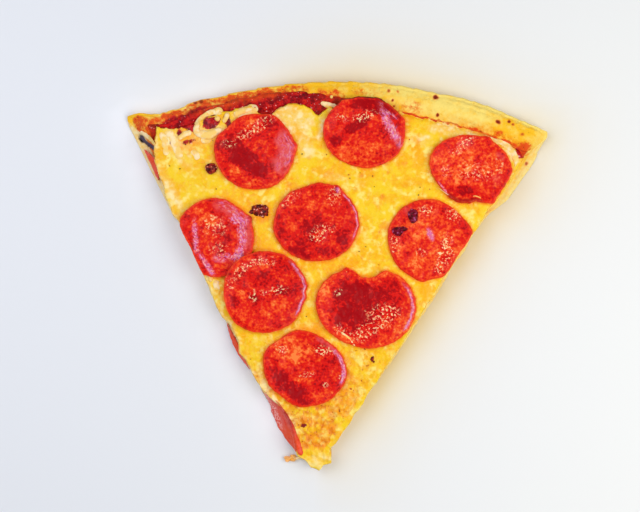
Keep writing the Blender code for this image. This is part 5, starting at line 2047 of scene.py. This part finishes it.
def build_board():
    """The pale board, with its finest cells by the slice, painted with bounce light and shade."""
    bpy.ops.object.select_all(action="DESELECT")
    bpy.ops.mesh.primitive_grid_add(
        x_subdivisions=BOARD_CELLS, y_subdivisions=BOARD_CELLS, size=2.0
    )
    board = bpy.context.object
    board.name = "board"
    points = read_points(board)
    points = 0.5 * BOARD_SIDE * np.sign(points) * np.abs(points) ** 2.6
    points[:, 2] = -BOARD_DROP
    write_points(board, points)
    x, y = points[:, 0] / MM, points[:, 1] / MM
    away = np.full(x.shape, np.inf)
    for edge_x, edge_y in zip(*dough_outline(300)[:2]):
        away = np.minimum(away, np.hypot(x - edge_x, y - edge_y))
    side = polar(x, y, SLICE_MIDDLE)[1]
    # Painted light on the board: warm bounce light beside the slice, cool shade to the left, and
    # white light by the left edge.
    warm = np.interp(side, *WARM_BOUNCE_SIDES) * np.exp(-away / 12.0)
    lit = soft_step(-10.0, -40.0, side) * soft_step(-180.0, -160.0, side) * np.exp(-away / 7.0)
    paint(board, "zones", warm, soft_step(0.14, -0.12, points[:, 0]), lit)
    finish = Finish("pale_board", Roughness=0.55, Specular_IOR_Level=0.2)
    warm_bounce, cool, glow = finish.masks("zones")
    finish.coat(BOARD_PLAIN)
    finish.coat(BOARD_COOL_SHADE, cool)
    finish.coat(BOARD_WARM_BOUNCE, warm_bounce)
    finish.coat(BOARD_LIT, glow * 0.8)
    board.data.materials.append(finish.give())


def build_room():
    """The soft light of a room: bright walls and a darker ceiling."""
    world = bpy.data.worlds.new("soft_room")
    world.use_nodes = True
    nodes = world.node_tree.nodes
    links = world.node_tree.links
    direction = nodes.new("ShaderNodeTexCoord")
    split = nodes.new("ShaderNodeSeparateXYZ")
    rise = nodes.new("ShaderNodeMapRange")
    links.new(direction.outputs["Generated"], split.inputs["Vector"])
    links.new(split.outputs["Z"], rise.inputs["Value"])
    rise.interpolation_type = "SMOOTHSTEP"
    for socket, value in (
        ("From Min", ROOM_FADE[0]),
        ("From Max", ROOM_FADE[1]),
        ("To Min", WALL_BRIGHTNESS),
        ("To Max", CEILING_BRIGHTNESS),
    ):
        rise.inputs[socket].default_value = value
    nodes["Background"].inputs["Color"].default_value = ROOM_TINT
    links.new(rise.outputs["Result"], nodes["Background"].inputs["Strength"])
    bpy.context.scene.world = world


def area_light(name, spot, width, power, tint):
    """A square soft light that shines at the slice's middle."""
    light = bpy.data.lights.new(name, "AREA")
    light.size = width
    light.energy = power
    light.color = tint
    lamp = bpy.data.objects.new(name, light)
    lamp.location = spot
    lamp.rotation_euler = (-Vector(spot)).to_track_quat("-Z", "Y").to_euler()
    bpy.context.scene.collection.objects.link(lamp)


def build_stage():
    """The board, the soft lights and the camera that looks straight down."""
    build_board()
    build_room()
    area_light("cool_window", (-0.34, 0.1, 0.52), width=0.5, power=2.1, tint=(0.86, 0.88, 1.0))
    area_light("warm_window", (0.38, -0.06, 0.5), width=0.5, power=2.8, tint=(1.0, 0.98, 0.94))
    camera = bpy.data.cameras.new("overhead")
    camera.lens = CAMERA_LENS
    camera.sensor_width = 36.0
    camera.clip_start = 0.01
    viewer = bpy.data.objects.new("overhead", camera)
    viewer.location = CAMERA_PLACE
    viewer.rotation_euler = (0.0, 0.0, math.radians(FACING))
    scene = bpy.context.scene
    scene.collection.objects.link(viewer)
    scene.camera = viewer
    scene.view_settings.view_transform = "Standard"


# Operators -----------------------------------------------------------------------------------


class PieceOperator:
    """What the operators share. An error in a build isn't caught, so it stops the script."""

    bl_options = {"REGISTER", "UNDO"}

    def execute(self, context):
        """Builds the piece or pieces."""
        self.build()
        return {"FINISHED"}


class PIZZA_OT_crust(PieceOperator, bpy.types.Operator):
    """Adds the baked dough with its rim, crumb and underside"""

    bl_idname = "pizza.crust"
    bl_label = "Crust"
    build = staticmethod(build_crust)


class PIZZA_OT_sauce(PieceOperator, bpy.types.Operator):
    """Adds the tomato sauce"""

    bl_idname = "pizza.sauce"
    bl_label = "Sauce"
    build = staticmethod(build_sauce)


class PIZZA_OT_cheese(PieceOperator, bpy.types.Operator):
    """Adds the melted cheese"""

    bl_idname = "pizza.cheese"
    bl_label = "Cheese"
    build = staticmethod(build_cheese)


class PIZZA_OT_pepperoni(PieceOperator, bpy.types.Operator):
    """Adds the slices of pepperoni"""

    bl_idname = "pizza.pepperoni"
    bl_label = "Pepperoni"
    build = staticmethod(build_pepperoni)


class PIZZA_OT_shreds(PieceOperator, bpy.types.Operator):
    """Adds half-melted shreds of cheese"""

    bl_idname = "pizza.shreds"
    bl_label = "Cheese shreds"
    build = staticmethod(build_shreds)


class PIZZA_OT_burnt(PieceOperator, bpy.types.Operator):
    """Adds burnt crumbs, blisters and the crumb by the tip"""

    bl_idname = "pizza.burnt"
    bl_label = "Burnt bits"

    def build(self):
        """Builds them in order."""
        build_burnt()
        build_blisters()
        build_crumb()


class PIZZA_OT_flecks(PieceOperator, bpy.types.Operator):
    """Adds flecks of herb and pepper"""

    bl_idname = "pizza.flecks"
    bl_label = "Herb flecks"
    build = staticmethod(build_flecks)


class PIZZA_OT_offcuts(PieceOperator, bpy.types.Operator):
    """Adds the slivers of pepperoni along the cut edge"""

    bl_idname = "pizza.offcuts"
    bl_label = "Offcuts"
    build = staticmethod(build_offcuts)


class PIZZA_OT_stage(PieceOperator, bpy.types.Operator):
    """Adds the board, the lights and the camera"""

    bl_idname = "pizza.stage"
    bl_label = "Stage"
    build = staticmethod(build_stage)


class VIEW3D_PT_pizza(bpy.types.Panel):
    """The slice's pieces, sizes and colours"""

    bl_label = "Pizza slice"
    bl_space_type = "VIEW_3D"
    bl_region_type = "UI"
    bl_category = "Pizza"

    def draw(self, context):
        """Lists the operators, then the sizes and the colours."""
        for operator in OPERATORS:
            self.layout.operator(operator.bl_idname)
        for group in (context.scene.pizza_sizes, context.scene.pizza_colours):
            for name in group.__annotations__:
                self.layout.prop(group, name)


OPERATORS = (
    PIZZA_OT_crust,
    PIZZA_OT_sauce,
    PIZZA_OT_cheese,
    PIZZA_OT_pepperoni,
    PIZZA_OT_offcuts,
    PIZZA_OT_shreds,
    PIZZA_OT_burnt,
    PIZZA_OT_flecks,
    PIZZA_OT_stage,
)
CLASSES = (PizzaSizes, PizzaColours, *OPERATORS, VIEW3D_PT_pizza)


def register():
    """Adds the classes and the scene's sizes and colours."""
    for class_ in CLASSES:
        bpy.utils.register_class(class_)
    bpy.types.Scene.pizza_sizes = PointerProperty(type=PizzaSizes)
    bpy.types.Scene.pizza_colours = PointerProperty(type=PizzaColours)


def unregister():
    """Takes them away again."""
    del bpy.types.Scene.pizza_sizes
    del bpy.types.Scene.pizza_colours
    for class_ in reversed(CLASSES):
        bpy.utils.unregister_class(class_)


def main():
    """Builds every piece in order."""
    register()
    for operator in OPERATORS:
        category, name = operator.bl_idname.split(".")
        getattr(getattr(bpy.ops, category), name)()


if __name__ == "__main__":
    main()
